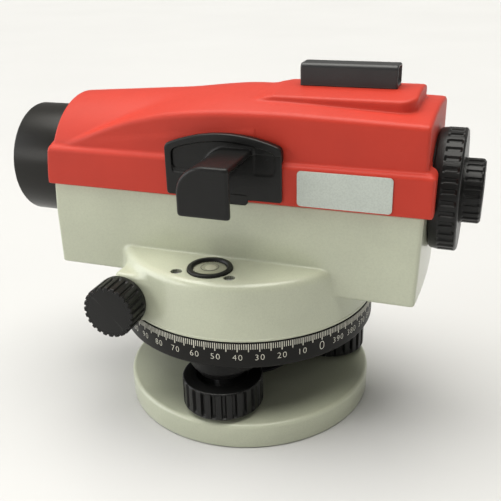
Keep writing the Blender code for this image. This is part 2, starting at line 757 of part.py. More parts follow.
pinion_points = [
    (0, FOCUS_Y[1] - 4.0), (2.5, FOCUS_Y[1] - 4.0), (2.5, 16.6), (3.6, 16.2), (3.6, 11.8), (2.5, 11.4), (2.5, 10.4), (0, 10.4),
]
focus_pinion = turned("focus_pinion", pinion_points, steps=16, at=(FOCUS_X, 0, FOCUS_Z), axis="Y", closed=False)
finish(focus_pinion, METAL)
a, b = FOCUS_Y
centre = (FOCUS_X, 0, FOCUS_Z)
focus_knob = fluted("focus_knob", FOCUS_R, FOCUS_R - 0.9, 26, a, b, axis="Y", at=centre)
join(focus_knob, rod("join_focus_hub", 9.0, a - 4.8, a + 1.0, axis="Y", at=centre, segments=24, group=CUTTERS))
cut(focus_knob, rod("cut_focus_knob", 2.8, a - 6.0, b - 3.6, axis="Y", at=centre, segments=16, group=CUTTERS))
finish(focus_knob, BLACK)

# --------------------------------------------------------------- compensator
compensator_frame = block("compensator_frame", (5.0, -20.0, 86.0), (45.0, 20.0, 134.0))
cut(compensator_frame, block("cut_compensator", (0.0, -17.6, 89.0), (50.0, 17.6, 131.0), group=CUTTERS))
for tag, (x0, x1) in {"front": (7.5, 17.0), "rear": (33.0, 42.5)}.items():
    join(compensator_frame, block(f"join_prism_seat_{tag}", (x0, -18.5, 99.6), (x1, 18.5, 103.2), group=CUTTERS))
finish(compensator_frame, LIGHT)


def prism(name, points, y_half, look=CLEAR):
    made = outline(name, points, -y_half, y_half)
    made.matrix_world = Matrix.Rotation(math.radians(90), 4, "X")
    return finish(made, look)


prism("fixed_prism_front", [(8.0, 117.5), (8.0, 103.5), (16.5, 110.5)], 9.0)
prism("fixed_prism_rear", [(42.0, 103.5), (42.0, 117.5), (33.5, 110.5)], 9.0)
pendulum = block("pendulum", (17.5, -9.0, 92.6), (32.5, 9.0, 96.2))
for i, (x, y) in enumerate(((19.0, -7.6), (31.0, -7.6), (19.0, 7.6), (31.0, 7.6))):
    join(pendulum, rod(f"join_wire_{i}", 0.45, 95.0, 130.6, at=(x, y, 0), segments=8, group=CUTTERS))
finish(pendulum, METAL)
prism("pendulum_prism", [(19.8, 96.6), (30.2, 96.6), (25.0, 106.0)], 6.6)
damper = block("damper", (20.0, -6.0, 89.3), (30.0, 6.0, 91.9))
finish(damper, METAL)

# ------------------------------------------------------------------ eyepiece
eyepiece_body = turned(
    "eyepiece_body",
    [
        (9.3, 101.0), (10.6, 101.0), (10.6, 88.4), (22.0, 88.0), (22.0, 79.0), (15.2, 78.6), (15.2, 62.0), (12.8, 62.0),
        (12.8, 80.0), (9.3, 81.0),
    ],
    steps=36,
    at=(0, 0, AXIS_Z),
    axis="X",
)
finish(eyepiece_body, BLACK_PAINT)
reticle_ring = turned(
    "reticle_ring", [(7.4, 69.4), (12.5, 69.4), (12.5, 66.0), (7.4, 66.0)], steps=24, at=(0, 0, AXIS_Z), axis="X"
)
finish(reticle_ring, YELLOW)
reticle_glass = rod("reticle_glass", 7.1, 67.0, 68.2, axis="X", at=(0, 0, AXIS_Z), segments=24)
finish(reticle_glass, CLEAR)
eyepiece_cell = turned(
    "eyepiece_cell", [(6.9, 98.0), (9.0, 98.0), (9.0, 84.0), (6.9, 84.0)], steps=24, at=(0, 0, AXIS_Z), axis="X"
)
finish(eyepiece_cell, BLACK_PAINT)
eyepiece_lens = turned(
    "eyepiece_lens", [(0, 97.0), (4, 96.6), (6.6, 95.4), (6.6, 92.6), (0, 91.6)], steps=20, at=(0, 0, AXIS_Z), axis="X", closed=False
)
finish(eyepiece_lens, CLEAR)
x0, x1 = EYE_RING_X
r = EYE_RING_R
centre = (0, 0, AXIS_Z)
eyepiece_ring = fluted("eyepiece_ring", r, r - 0.7, 24, x0, x1, axis="X", at=centre)
cut(eyepiece_ring, rod("cut_eye_ring_bore", 11.0, x0 - 1, 101.6, axis="X", at=centre, segments=24, group=CUTTERS))
cut(eyepiece_ring, rod("cut_eye_ring_hole", 6.3, x0 - 1, x1 + 1, axis="X", at=centre, segments=20, group=CUTTERS))
finish(eyepiece_ring, BLACK)
x0, x1 = COVER_RING_X
r = COVER_RING_R
eyepiece_cover_ring = fluted("eyepiece_cover_ring", r, r - 0.8, 36, x0 + 3.0, x1, axis="X", at=centre)
join(eyepiece_cover_ring, rod("join_cover_collar", r - 0.5, x0, x0 + 4.0, axis="X", at=centre, segments=36, group=CUTTERS))
cut(eyepiece_cover_ring, rod("cut_cover_ring_bore", 22.8, x0 - 1, 92.0, axis="X", at=centre, segments=32, group=CUTTERS))
cut(eyepiece_cover_ring, rod("cut_cover_ring_hole", 14.3, x0 - 1, x1 + 1, axis="X", at=centre, segments=28, group=CUTTERS))
finish(eyepiece_cover_ring, BLACK)

# ----------------------------------------------------- joints and shading
bpy.context.view_layer.update()

DEEP = {
    "tilt_x_axis": ((-1.11, 21.22, 35.0), ["spring_plate"]),
    "compensator_axis": ((25.0, 0.0, 130.6), ["pendulum", "pendulum_prism"]),
}
for name, (at, members) in DEEP.items():
    holder = pivot(name, at)
    for member in members:
        parented(bpy.data.objects[member], holder)

for obj in PARTS.objects:
    if obj.type != "MESH":
        continue
    for polygon in obj.data.polygons:
        polygon.use_smooth = False
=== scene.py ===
"""Automatic level: the looks. Lengths below are in millimetres unless said otherwise."""
import bpy, bmesh, math, json
import numpy as np
from mathutils import Vector, Matrix


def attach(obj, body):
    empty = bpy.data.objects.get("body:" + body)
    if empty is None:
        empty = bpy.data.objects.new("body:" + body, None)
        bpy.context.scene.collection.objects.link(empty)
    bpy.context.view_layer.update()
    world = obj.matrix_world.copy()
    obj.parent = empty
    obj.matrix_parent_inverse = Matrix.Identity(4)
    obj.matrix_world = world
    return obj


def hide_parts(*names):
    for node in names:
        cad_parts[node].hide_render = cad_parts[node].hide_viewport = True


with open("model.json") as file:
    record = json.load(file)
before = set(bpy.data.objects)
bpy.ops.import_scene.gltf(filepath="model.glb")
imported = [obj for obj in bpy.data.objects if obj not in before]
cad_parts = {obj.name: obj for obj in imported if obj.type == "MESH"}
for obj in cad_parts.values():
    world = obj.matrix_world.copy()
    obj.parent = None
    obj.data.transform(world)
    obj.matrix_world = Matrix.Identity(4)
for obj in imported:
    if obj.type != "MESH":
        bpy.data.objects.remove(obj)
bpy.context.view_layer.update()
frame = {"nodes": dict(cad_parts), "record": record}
MM = 0.001
AX = 110.4                      # height of the telescope's axis


# ---------------------------------------------------------------- materials
def new_mat(name):
    m = bpy.data.materials.new(name)
    m.use_nodes = True
    nt = m.node_tree
    return m, nt, nt.nodes["Principled BSDF"]


def noise(nt, scale, detail=2.0, rough=0.5, loc=None):
    tc = nt.nodes.new("ShaderNodeTexCoord")
    n = nt.nodes.new("ShaderNodeTexNoise")
    n.inputs["Scale"].default_value = scale
    n.inputs["Detail"].default_value = detail
    n.inputs["Roughness"].default_value = rough
    nt.links.new(tc.outputs["Object"], n.inputs["Vector"])
    return n


def ramp(nt, src, stops):
    r = nt.nodes.new("ShaderNodeValToRGB")
    els = r.color_ramp.elements
    while len(els) < len(stops):
        els.new(0.5)
    for e, (p, c) in zip(els, stops):
        e.position = p
        e.color = (*c, 1.0) if len(c) == 3 else c
    nt.links.new(src, r.inputs["Fac"])
    return r


def maprange(nt, src, a, b, lo=0.0, hi=1.0):
    r = nt.nodes.new("ShaderNodeMapRange")
    r.inputs["From Min"].default_value = lo
    r.inputs["From Max"].default_value = hi
    r.inputs["To Min"].default_value = a
    r.inputs["To Max"].default_value = b
    nt.links.new(src, r.inputs["Value"])
    return r


def bump(nt, bsdf, src, strength, distance, chain=None):
    b = nt.nodes.new("ShaderNodeBump")
    b.inputs["Strength"].default_value = strength
    b.inputs["Distance"].default_value = distance
    nt.links.new(src, b.inputs["Height"])
    if chain is not None:
        nt.links.new(chain.outputs["Normal"], b.inputs["Normal"])
    nt.links.new(b.outputs["Normal"], bsdf.inputs["Normal"])
    return b


def mul(nt, a, b):
    m = nt.nodes.new("ShaderNodeMix")
    m.data_type = "RGBA"
    m.blend_type = "MULTIPLY"
    m.inputs["Factor"].default_value = 1.0
    nt.links.new(a, m.inputs["A"])
    nt.links.new(b, m.inputs["B"])
    return m


def convex_edge_tint(nt, colour_socket, edge_tone, low=0.52, high=0.62, amount=0.5):
    """Mixes in a lighter colour on convex edges (pointiness), broken up by noise."""
    geo = nt.nodes.new("ShaderNodeNewGeometry")
    mr = maprange(nt, geo.outputs["Pointiness"], 0.0, amount, low, high)
    n = noise(nt, 160.0, 4.0, 0.6)
    mm = nt.nodes.new("ShaderNodeMath")
    mm.operation = "MULTIPLY"
    nt.links.new(mr.outputs["Result"], mm.inputs[0])
    nt.links.new(n.outputs["Fac"], mm.inputs[1])
    mix = nt.nodes.new("ShaderNodeMix")
    mix.data_type = "RGBA"
    mix.inputs["B"].default_value = (*edge_tone, 1)
    nt.links.new(mm.outputs["Value"], mix.inputs["Factor"])
    nt.links.new(colour_socket, mix.inputs["A"])
    return mix


def paint_mat(name, base, rough=0.30, peel=0.14, coat=0.40):
    m, nt, b = new_mat(name)
    big = noise(nt, 22.0, 3.0, 0.55)
    light = tuple(min(1, c * 1.06) for c in base)
    dark = tuple(c * 0.93 for c in base)
    col = ramp(nt, big.outputs["Fac"], [(0.3, dark), (0.7, light)])
    speck = noise(nt, 1500.0, 2.0, 0.6)
    sp = ramp(nt, speck.outputs["Fac"], [(0.3, (0.93, 0.93, 0.93)), (0.62, (1.0, 1.0, 1.0))])
    mx = mul(nt, col.outputs["Color"], sp.outputs["Color"])
    nt.links.new(mx.outputs["Result"], b.inputs["Base Color"])
    r = maprange(nt, big.outputs["Fac"], rough - 0.04, rough + 0.07)
    nt.links.new(r.outputs["Result"], b.inputs["Roughness"])
    fine = noise(nt, 700.0, 3.0, 0.55)
    b1 = bump(nt, b, fine.outputs["Fac"], peel, 0.0004)
    waves = noise(nt, 150.0, 2.0, 0.5)
    bump(nt, b, waves.outputs["Fac"], peel * 0.7, 0.0006, b1)
    b.inputs["Coat Weight"].default_value = coat
    b.inputs["Coat Roughness"].default_value = 0.08
    return m


def plastic_mat(name, base, rough=0.42, grain=0.25, scale=1100.0, var=0.08, spec=0.5, edge_tone=None):
    m, nt, b = new_mat(name)
    big = noise(nt, 30.0, 3.0, 0.6)
    light = tuple(min(1, c * (1 + var)) for c in base)
    dark = tuple(c * (1 - var) for c in base)
    col = ramp(nt, big.outputs["Fac"], [(0.28, dark), (0.72, light)])
    out = col.outputs["Color"]
    if edge_tone is not None:
        out = convex_edge_tint(nt, out, edge_tone).outputs["Result"]
    nt.links.new(out, b.inputs["Base Color"])
    vor = nt.nodes.new("ShaderNodeTexVoronoi")
    vor.inputs["Scale"].default_value = scale
    tc = nt.nodes.new("ShaderNodeTexCoord")
    nt.links.new(tc.outputs["Object"], vor.inputs["Vector"])
    b1 = bump(nt, b, vor.outputs["Distance"], grain, 0.0002)
    fine = noise(nt, scale * 0.45, 3.0, 0.6)
    bump(nt, b, fine.outputs["Fac"], grain * 0.6, 0.0003, b1)
    mr = maprange(nt, fine.outputs["Fac"], rough - 0.05, rough + 0.08)
    nt.links.new(mr.outputs["Result"], b.inputs["Roughness"])
    b.inputs["Specular IOR Level"].default_value = spec
    return m


def metal_mat(name, base, rough=0.28, axis=None, scratch=0.1):
    m, nt, b = new_mat(name)
    tc = nt.nodes.new("ShaderNodeTexCoord")
    mp = nt.nodes.new("ShaderNodeMapping")
    mp.inputs["Scale"].default_value = axis or (60, 60, 900)
    nt.links.new(tc.outputs["Object"], mp.inputs["Vector"])
    n = nt.nodes.new("ShaderNodeTexNoise")
    n.inputs["Scale"].default_value = 3.0
    n.inputs["Detail"].default_value = 4.0
    nt.links.new(mp.outputs["Vector"], n.inputs["Vector"])
    col = ramp(nt, n.outputs["Fac"], [(0.3, tuple(c * 0.85 for c in base)), (0.7, tuple(min(1, c * 1.1) for c in base))])
    nt.links.new(col.outputs["Color"], b.inputs["Base Color"])
    b.inputs["Metallic"].default_value = 1.0
    r = maprange(nt, n.outputs["Fac"], rough - 0.08, rough + 0.12)
    nt.links.new(r.outputs["Result"], b.inputs["Roughness"])
    bump(nt, b, n.outputs["Fac"], scratch, 0.0001)
    return m


def glass_mat(name, tint=(0.95, 0.98, 0.96), rough=0.02, coat_tint=None, weight=1.0):
    m, nt, b = new_mat(name)
    n = noise(nt, 40.0, 2.0, 0.5)
    col = ramp(nt, n.outputs["Fac"], [(0.3, tuple(c * 0.985 for c in tint)), (0.7, tint)])
    nt.links.new(col.outputs["Color"], b.inputs["Base Color"])
    r = maprange(nt, n.outputs["Fac"], rough, rough + 0.02)
    nt.links.new(r.outputs["Result"], b.inputs["Roughness"])
    b.inputs["Transmission Weight"].default_value = weight
    b.inputs["IOR"].default_value = 1.5
    if coat_tint:
        b.inputs["Coat Weight"].default_value = 0.6
        b.inputs["Coat Roughness"].default_value = 0.03
        b.inputs["Coat Tint"].default_value = (*coat_tint, 1)
        b.inputs["Thin Film Thickness"].default_value = 520.0
        b.inputs["Thin Film IOR"].default_value = 1.38
    return m


GREY = (0.505, 0.530, 0.405)
M = {
    "grey_paint": paint_mat("grey_green_paint", GREY),
    "red_plastic": plastic_mat("red_satin_plastic", (0.52, 0.038, 0.020), rough=0.46, grain=0.13, scale=900.0, var=0.05,
                               spec=0.30, edge_tone=(0.80, 0.16, 0.11)),
    "black_plastic": plastic_mat("black_satin_plastic", (0.0072, 0.0072, 0.0070), rough=0.33, grain=0.14, scale=1300.0, var=0.15, spec=0.27,
                                 edge_tone=(0.06, 0.06, 0.058)),
    # sight plastic: its base colour, lighter than the other black plastic, is painted sheen; its higher specular level
    # is real
    "black_sight": plastic_mat("black_sight_plastic_painted_sheen", (0.024, 0.025, 0.026), rough=0.34, grain=0.14, scale=1300.0, var=0.12, spec=0.45,
                               edge_tone=(0.08, 0.08, 0.075)),
    "black_tube": plastic_mat("black_tube_paint", (0.0085, 0.0078, 0.0062), rough=0.31, grain=0.08, scale=1500.0, var=0.15, spec=0.26,
                              edge_tone=(0.07, 0.07, 0.06)),
    "black_ring": plastic_mat("black_anodised", (0.0070, 0.0068, 0.0062), rough=0.42, grain=0.08, scale=1800.0, var=0.12, spec=0.18,
                              edge_tone=(0.06, 0.055, 0.05)),
    "black_metal": plastic_mat("black_paint", (0.0060, 0.0060, 0.0058), rough=0.42, grain=0.2, scale=600.0, var=0.2, spec=0.2,
                               edge_tone=(0.05, 0.05, 0.05)),
    "blued_steel": metal_mat("blued_steel", (0.035, 0.036, 0.040), rough=0.4),
    "steel": metal_mat("turned_steel", (0.52, 0.52, 0.53)),
    "brass_parts": metal_mat("turned_brass", (0.62, 0.44, 0.17)),
    "bare_aluminium": metal_mat("machined_aluminium", (0.68, 0.69, 0.70), rough=0.34),
    "clear_glass": glass_mat("clear_glass"),
    "coated_glass": glass_mat("coated_glass", tint=(0.86, 0.92, 0.95), coat_tint=(0.75, 0.85, 1.0)),
}
# white filling of the divisions and figures
m, nt, b = new_mat("white_filling")
n = noise(nt, 900.0, 3.0, 0.6)
c = ramp(nt, n.outputs["Fac"], [(0.25, (0.52, 0.51, 0.43)), (0.7, (0.74, 0.73, 0.64))])
nt.links.new(c.outputs["Color"], b.inputs["Base Color"])
mr = maprange(nt, n.outputs["Fac"], 0.45, 0.6)
nt.links.new(mr.outputs["Result"], b.inputs["Roughness"])
M["white"] = m
# mirror
m, nt, b = new_mat("silvered_mirror")
n = noise(nt, 60.0, 2.0, 0.5)
c = ramp(nt, n.outputs["Fac"], [(0.3, (0.86, 0.87, 0.87)), (0.7, (0.92, 0.93, 0.93))])
nt.links.new(c.outputs["Color"], b.inputs["Base Color"])
b.inputs["Metallic"].default_value = 1.0
mr = maprange(nt, n.outputs["Fac"], 0.02, 0.05)
nt.links.new(mr.outputs["Result"], b.inputs["Roughness"])
M["mirror_glass"] = m
# silver plate
m, nt, b = new_mat("silver_plate")
n = noise(nt, 110.0, 4.0, 0.6)
c = ramp(nt, n.outputs["Fac"], [(0.3, (0.53, 0.575, 0.53)), (0.7, (0.565, 0.61, 0.56))])
f = noise(nt, 1400.0, 2.0, 0.5)
sp = ramp(nt, f.outputs["Fac"], [(0.35, (0.9, 0.9, 0.9)), (0.6, (1, 1, 1))])
mx = mul(nt, c.outputs["Color"], sp.outputs["Color"])
nt.links.new(mx.outputs["Result"], b.inputs["Base Color"])
b.inputs["Metallic"].default_value = 0.25
mr = maprange(nt, n.outputs["Fac"], 0.34, 0.5)
nt.links.new(mr.outputs["Result"], b.inputs["Roughness"])
bump(nt, b, f.outputs["Fac"], 0.08, 0.0001)
M["plate"] = m


# ----------------------------------------------------------- mesh utilities
def link(obj):
    bpy.context.scene.collection.objects.link(obj)
    return obj


def mesh_object(name, verts, faces, mat, normals=None, smooth=True, angle=None):
    me = bpy.data.meshes.new(name)
    me.from_pydata([tuple(v) for v in np.asarray(verts, float) * MM], [], [tuple(f) for f in faces])
    me.validate()
    if smooth:
        me.polygons.foreach_set("use_smooth", [True] * len(me.polygons))
    if normals is not None:
        me.normals_split_custom_set_from_vertices([tuple(n) for n in normals])
    elif angle is not None:
        me.set_sharp_from_angle(angle=math.radians(angle))
    me.materials.append(mat)
    me.update()
    return link(bpy.data.objects.new(name, me))


TURN = {
    "Z": np.array([[1, 0, 0], [0, 1, 0], [0, 0, 1.0]]),
    "X": np.array([[0, 0, 1.0], [0, 1, 0], [-1, 0, 0]]),     # local z -> +X
    "Y": np.array([[1, 0, 0], [0, 0, 1.0], [0, -1, 0]]),     # local z -> +Y
}


def fillet(points, r, steps=4, closed=False):
    """Rounds the corners of a 2D polyline. r is one radius or one per point."""
    out = []
    n = len(points)
    for i, p in enumerate(points):
        rr = r[i] if hasattr(r, "__len__") else r
        if rr <= 0 or (not closed and i in (0, n - 1)):
            out.append(p)
            continue
        a, c = np.array(points[i - 1], float), np.array(points[(i + 1) % n], float)
        q = np.array(p, float)
        u, w = a - q, c - q
        lu, lw = np.linalg.norm(u), np.linalg.norm(w)
        if lu < 1e-9 or lw < 1e-9:
            out.append(p)
            continue
        u, w = u / lu, w / lw
        cosang = float(np.clip(u @ w, -1, 1))
        if cosang < -0.999:
            out.append(p)
            continue
        half = math.acos(cosang) / 2
        d = min(rr / math.tan(half), lu * 0.48, lw * 0.48)
        rad = d * math.tan(half)
        centre = q + (u + w) / np.linalg.norm(u + w) * rad / math.sin(half)
        s, e = q + u * d - centre, q + w * d - centre
        a0, a1 = math.atan2(s[1], s[0]), math.atan2(e[1], e[0])
        da = (a1 - a0 + math.pi) % (2 * math.pi) - math.pi
        for k in range(steps + 1):
            t = a0 + da * k / steps
            out.append((centre[0] + rad * math.cos(t), centre[1] + rad * math.sin(t)))
    return out


def grid_turn(profile, angles, radial=None, closed=False):
    """Vertices of a profile (r, z) turned through the angles. radial(theta, i) gives a change of radius."""
    prof = np.asarray(profile, float)
    n, m = len(prof), len(angles)
    th = np.asarray(angles)
    r = np.repeat(prof[:, 0][:, None], m, 1)
    if radial is not None:
        r = r + radial(th[None, :], prof[:, 0][:, None], prof[:, 1][:, None])
    r = np.maximum(r, 0)
    x, y = r * np.cos(th), r * np.sin(th)
    z = np.repeat(prof[:, 1][:, None], m, 1)
    verts = np.stack([x, y, z], -1).reshape(-1, 3)
    faces = []
    rows = n if closed else n - 1
    for i in range(rows):
        j = (i + 1) % n
        for k in range(m):
            l = (k + 1) % m
            a, b_, c_, d = i * m + k, i * m + l, j * m + l, j * m + k
            if prof[i, 0] < 1e-6 and prof[j, 0] < 1e-6:
                continue
            if prof[i, 0] < 1e-6:
                faces.append((a, c_, d))
            elif prof[j, 0] < 1e-6:
                faces.append((a, b_, d))
            else:
                faces.append((a, b_, c_, d))
    return verts, faces


def clean(obj, dist=1e-5, angle=None):
    bm = bmesh.new()
    bm.from_mesh(obj.data)
    bmesh.ops.remove_doubles(bm, verts=bm.verts, dist=dist)
    bmesh.ops.recalc_face_normals(bm, faces=bm.faces)
    bm.to_mesh(obj.data)
    bm.free()
    if angle is not None:
        obj.data.set_sharp_from_angle(angle=math.radians(angle))
    return obj


def lathe(name, profile, mat, seg=128, at=(0, 0, 0), axis="Z", r=0.0, closed=True, radial=None, angle=35, steps=4):
    """A turned piece. Profile points are (radius, height); r rounds its corners."""
    prof = fillet(profile, r, steps, closed) if r else profile
    ang = np.linspace(0, 2 * math.pi, seg, endpoint=False)
    v, f = grid_turn(prof, ang, radial, closed)
    v = v @ TURN[axis].T + np.array(at, float)
    o = mesh_object(name, v, f, mat)
    return clean(o, angle=angle)


def fluting(count, depth, zlo, zhi, rmin, run=1.2, duty=0.5, ends="round", phase=0.0):
    """Change of radius for a grip with rounded ridges. Grooves run from zlo to zhi and fade within run."""
    def f(th, r, z):
        s = 0.5 + 0.5 * np.cos(count * (th - phase))
        g = 1.0 - np.clip((s - (1 - duty) * 0.55) / 0.28, 0, 1)
        g = g * g * (3 - 2 * g)
        w = np.clip((z - zlo) / run, 0, 1) * np.clip((zhi - z) / run, 0, 1)
        w = np.sqrt(np.clip(w, 0, 1))
        side = (r > rmin)
        return -depth * g * w * side
    return f


def dense(profile, step=0.35):
    """Adds points along the straight runs of a profile, so that flutes can fade along it."""
    out = [profile[0]]
    for a, b_ in zip(profile, profile[1:]):
        d = math.hypot(b_[0] - a[0], b_[1] - a[1])
        k = max(1, int(d / step))
        if a[0] != b_[0] and d > 3:
            k = 1
        for i in range(1, k + 1):
            out.append((a[0] + (b_[0] - a[0]) * i / k, a[1] + (b_[1] - a[1]) * i / k))
    return out


# -------------------------------------------------- surfaces from a field
def smin(a, b_, k):
    h = np.maximum(k - np.abs(a - b_), 0.0) / k
    return np.minimum(a, b_) - h * h * k * 0.25


def smax(a, b_, k):
    return -smin(-a, -b_, k)


def rbox(x, y, z, lo, hi, r):
    c = [(a + b_) / 2 for a, b_ in zip(lo, hi)]
    h = [(b_ - a) / 2 - r for a, b_ in zip(lo, hi)]
    qx, qy, qz = np.abs(x - c[0]) - h[0], np.abs(y - c[1]) - h[1], np.abs(z - c[2]) - h[2]
    out = np.sqrt(np.maximum(qx, 0) ** 2 + np.maximum(qy, 0) ** 2 + np.maximum(qz, 0) ** 2)
    return out + np.minimum(np.maximum(qx, np.maximum(qy, qz)), 0) - r


def rrect(x, y, lo, hi, r):
    c = [(a + b_) / 2 for a, b_ in zip(lo, hi)]
    h = [(b_ - a) / 2 - r for a, b_ in zip(lo, hi)]
    qx, qy = np.abs(x - c[0]) - h[0], np.abs(y - c[1]) - h[1]
    return np.sqrt(np.maximum(qx, 0) ** 2 + np.maximum(qy, 0) ** 2) + np.minimum(np.maximum(qx, qy), 0) - r


def field_mesh(name, f, lo, hi, h, mat, iterations=4, eps=0.04, skip=None, keep=None):
    """Surface nets on a grid, then each vertex is moved onto the field's zero and takes its gradient as normal."""
    xs = [np.arange(a, b_ + h, h) for a, b_ in zip(lo, hi)]
    nx, ny, nz = (len(a) for a in xs)
    G = np.empty((nx, ny, nz), np.float32)
    step = max(1, int(400000 / (ny * nz)))
    Y, Z = np.meshgrid(xs[1], xs[2], indexing="ij")
    for i in range(0, nx, step):
        X = xs[0][i:i + step][:, None, None]
        x = np.broadcast_to(X, (X.shape[0], ny, nz)).astype(np.float64)
        G[i:i + step] = f(x, np.broadcast_to(Y, x.shape), np.broadcast_to(Z, x.shape))
    S = G < 0
    cells = (nx - 1, ny - 1, nz - 1)
    total = np.zeros(cells, np.int8)
    for a in (0, 1):
        for b_ in (0, 1):
            for c_ in (0, 1):
                total += S[a:a + cells[0], b_:b_ + cells[1], c_:c_ + cells[2]]
    mask = (total > 0) & (total < 8)
    index = -np.ones(cells, np.int64)
    index[mask] = np.arange(mask.sum())
    acc = np.zeros((int(mask.sum()), 3))
    cnt = np.zeros(int(mask.sum()))
    quads = []
    origin = np.array([a[0] for a in xs])
    for axis in range(3):
        sl0 = [slice(None)] * 3
        sl1 = [slice(None)] * 3
        sl0[axis] = slice(0, -1)
        sl1[axis] = slice(1, None)
        a, b_ = G[tuple(sl0)], G[tuple(sl1)]
        cross = (a < 0) != (b_ < 0)
        ii = np.argwhere(cross)
        av, bv = a[cross].astype(float), b_[cross].astype(float)
        t = av / (av - bv)
        pos = ii.astype(float)
        pos[:, axis] += t
        u, w = [(1, 2), (2, 0), (0, 1)][axis]
        ring = []
        for du, dw in ((0, 0), (-1, 0), (-1, -1), (0, -1)):
            c_ = ii.copy()
            c_[:, u] += du
            c_[:, w] += dw
            ok = (c_ >= 0).all(1) & (c_ < np.array(cells)).all(1)
            cid = np.full(len(c_), -1, np.int64)
            cid[ok] = index[tuple(c_[ok].T)]
            good = cid >= 0
            np.add.at(acc, cid[good], pos[good])
            np.add.at(cnt, cid[good], 1)
            ring.append(cid)
        ring = np.stack(ring, 1)
        full = (ring >= 0).all(1)
        ring = ring[full]
        flip = (av[full] >= 0)
        ring[flip] = ring[flip][:, ::-1]
        quads.append(ring)
    P = acc / np.maximum(cnt, 1)[:, None] * h + origin
    Q = np.concatenate(quads)

    def grad(P, e):
        g = np.empty_like(P)
        for k in range(3):
            d = np.zeros(3)
            d[k] = e
            A, B = P + d, P - d
            g[:, k] = (f(A[:, 0], A[:, 1], A[:, 2]) - f(B[:, 0], B[:, 1], B[:, 2])) / (2 * e)
        return g

    P0 = P.copy()
    for _ in range(iterations):
        val = f(P[:, 0], P[:, 1], P[:, 2])
        g = grad(P, eps)
        g2 = np.maximum((g ** 2).sum(1), 0.05)
        move = -(val / g2)[:, None] * g
        L = np.linalg.norm(move, axis=1)
        move *= np.minimum(1, 0.5 * h / np.maximum(L, 1e-9))[:, None]
        P = P + move
        D = P - P0
        L = np.linalg.norm(D, axis=1)
        D *= np.minimum(1, 0.95 * h / np.maximum(L, 1e-9))[:, None]
        P = P0 + D
    N = grad(P, 0.12)
    N /= np.maximum(np.linalg.norm(N, axis=1), 1e-9)[:, None]
    if skip is not None or keep is not None:
        c_ = P[Q].mean(1)
        a_, b2 = (skip if skip is not None else keep)
        inside = ((c_ > np.array(a_)) & (c_ < np.array(b2))).all(1)
        Q = Q[~inside] if skip is not None else Q[inside]
    used = np.unique(Q)
    remap = -np.ones(len(P), np.int64)
    remap[used] = np.arange(len(used))
    return mesh_object(name, P[used], remap[Q], mat, normals=N[used])


# =================================================================== camera
CAM = np.array([110.8765, -299.5496, 208.9403])
AZ, PITCH, ROLL, FOC = 0.3493, 0.4091, 0.0246, 716.5161
fw = np.array([-math.sin(AZ) * math.cos(PITCH), math.cos(AZ) * math.cos(PITCH), -math.sin(PITCH)])
rt = np.array([math.cos(AZ), math.sin(AZ), 0.0])
dn = np.cross(fw, rt)
rt2 = math.cos(ROLL) * rt + math.sin(ROLL) * dn
dn2 = -math.sin(ROLL) * rt + math.cos(ROLL) * dn
cam_data = bpy.data.cameras.new("camera")
cam_data.sensor_width = 36.0
cam_data.lens = FOC * 36.0 / 501.0
cam_data.clip_start = 0.01
cam_data.clip_end = 20.0
cam = link(bpy.data.objects.new("camera", cam_data))
rot = Matrix((
    (rt2[0], -dn2[0], -fw[0]),
    (rt2[1], -dn2[1], -fw[1]),
    (rt2[2], -dn2[2], -fw[2]),
)).to_4x4()
cam.matrix_world = Matrix.Translation(Vector(CAM * MM)) @ rot
bpy.context.scene.camera = cam

# ============================================================ 1. base plate
base = lathe(
    "base_casting",
    [(7.2, 13.2), (15.5, 13.2), (17.5, 12.0), (60.0, 12.0), (60.0, 0.0), (48.0, 0.0), (47.0, 2.0), (16.5, 2.0), (15.5, 0.0), (7.2, 0.0)],
    M["grey_paint"], seg=192, r=[0.4, 0.6, 1.0, 2.0, 0.8, 0.4, 0.8, 0.8, 0.4, 0.4], steps=6,
)
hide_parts("base_plate"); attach(base, "base")

# =========================================================== 2. foot screws
FEET = {s: (42.5 * math.cos(math.radians(a)), 42.5 * math.sin(math.radians(a))) for s, a in
        {"front": -87.0, "right": 33.0, "left": 153.0}.items()}
for side, (fx, fy) in FEET.items():
    body = f"foot_{side}"
    prof = fillet(
        [(4.35, 26.9), (11.4, 26.9), (11.9, 28.4), (14.6, 28.4), (18.4, 28.0), (18.4, 14.3), (14.0, 14.2), (13.2, 15.4), (4.35, 15.4)],
        [0, 0.3, 0.4, 1.5, 1.1, 0.9, 0.4, 0.4, 0], 6, True)
    prof = dense(prof + [prof[0]], 0.4)[:-1]
    knob = lathe(f"foot_screw_grip_{side}", prof, M["black_plastic"], seg=24 * 16, at=(fx, fy, 0),
                 radial=fluting(24, 1.35, 15.0, 27.6, 14.8, run=1.5, duty=0.62), angle=50)
    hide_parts(f"foot_knob_{side}"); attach(knob, body)
    pts = [(0, 38.6), (3.4, 38.6), (3.95, 38.0)]
    z = 37.7
    while z > 30.0:
        pts += [(3.95, z), (3.55, z - 0.35), (3.95, z - 0.7)]
        z -= 0.75
    pts += [(3.95, 17.4), (3.2, 16.6), (3.2, 14.9), (4.3, 13.9), (4.9, 12.9), (5.0, 12.4), (4.8, 11.0), (4.0, 9.3), (2.6, 8.1), (0, 7.5)]
    sp = lathe(f"foot_screw_thread_{side}", pts, M["steel"], seg=48, at=(fx, fy, 0), closed=False, angle=28)
    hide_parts(f"foot_spindle_{side}"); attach(sp, body)
    nut = lathe(f"foot_nut_brass_{side}", [(4.6, 40.7), (6.1, 40.7), (6.1, 31.2), (4.6, 31.2)], M["brass_parts"], seg=48,
                at=(fx, fy, 0), r=0.35)
    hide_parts(f"foot_nut_{side}"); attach(nut, "tribrach")

# ========================================================= 3. spring plate
sprg = lathe("spring_disc", [(9.0, 15.9), (23.0, 15.9), (23.0, 14.9), (9.0, 14.9)], M["blued_steel"], seg=96, r=0.25)
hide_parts("spring_plate"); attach(sprg, "tilt_link")


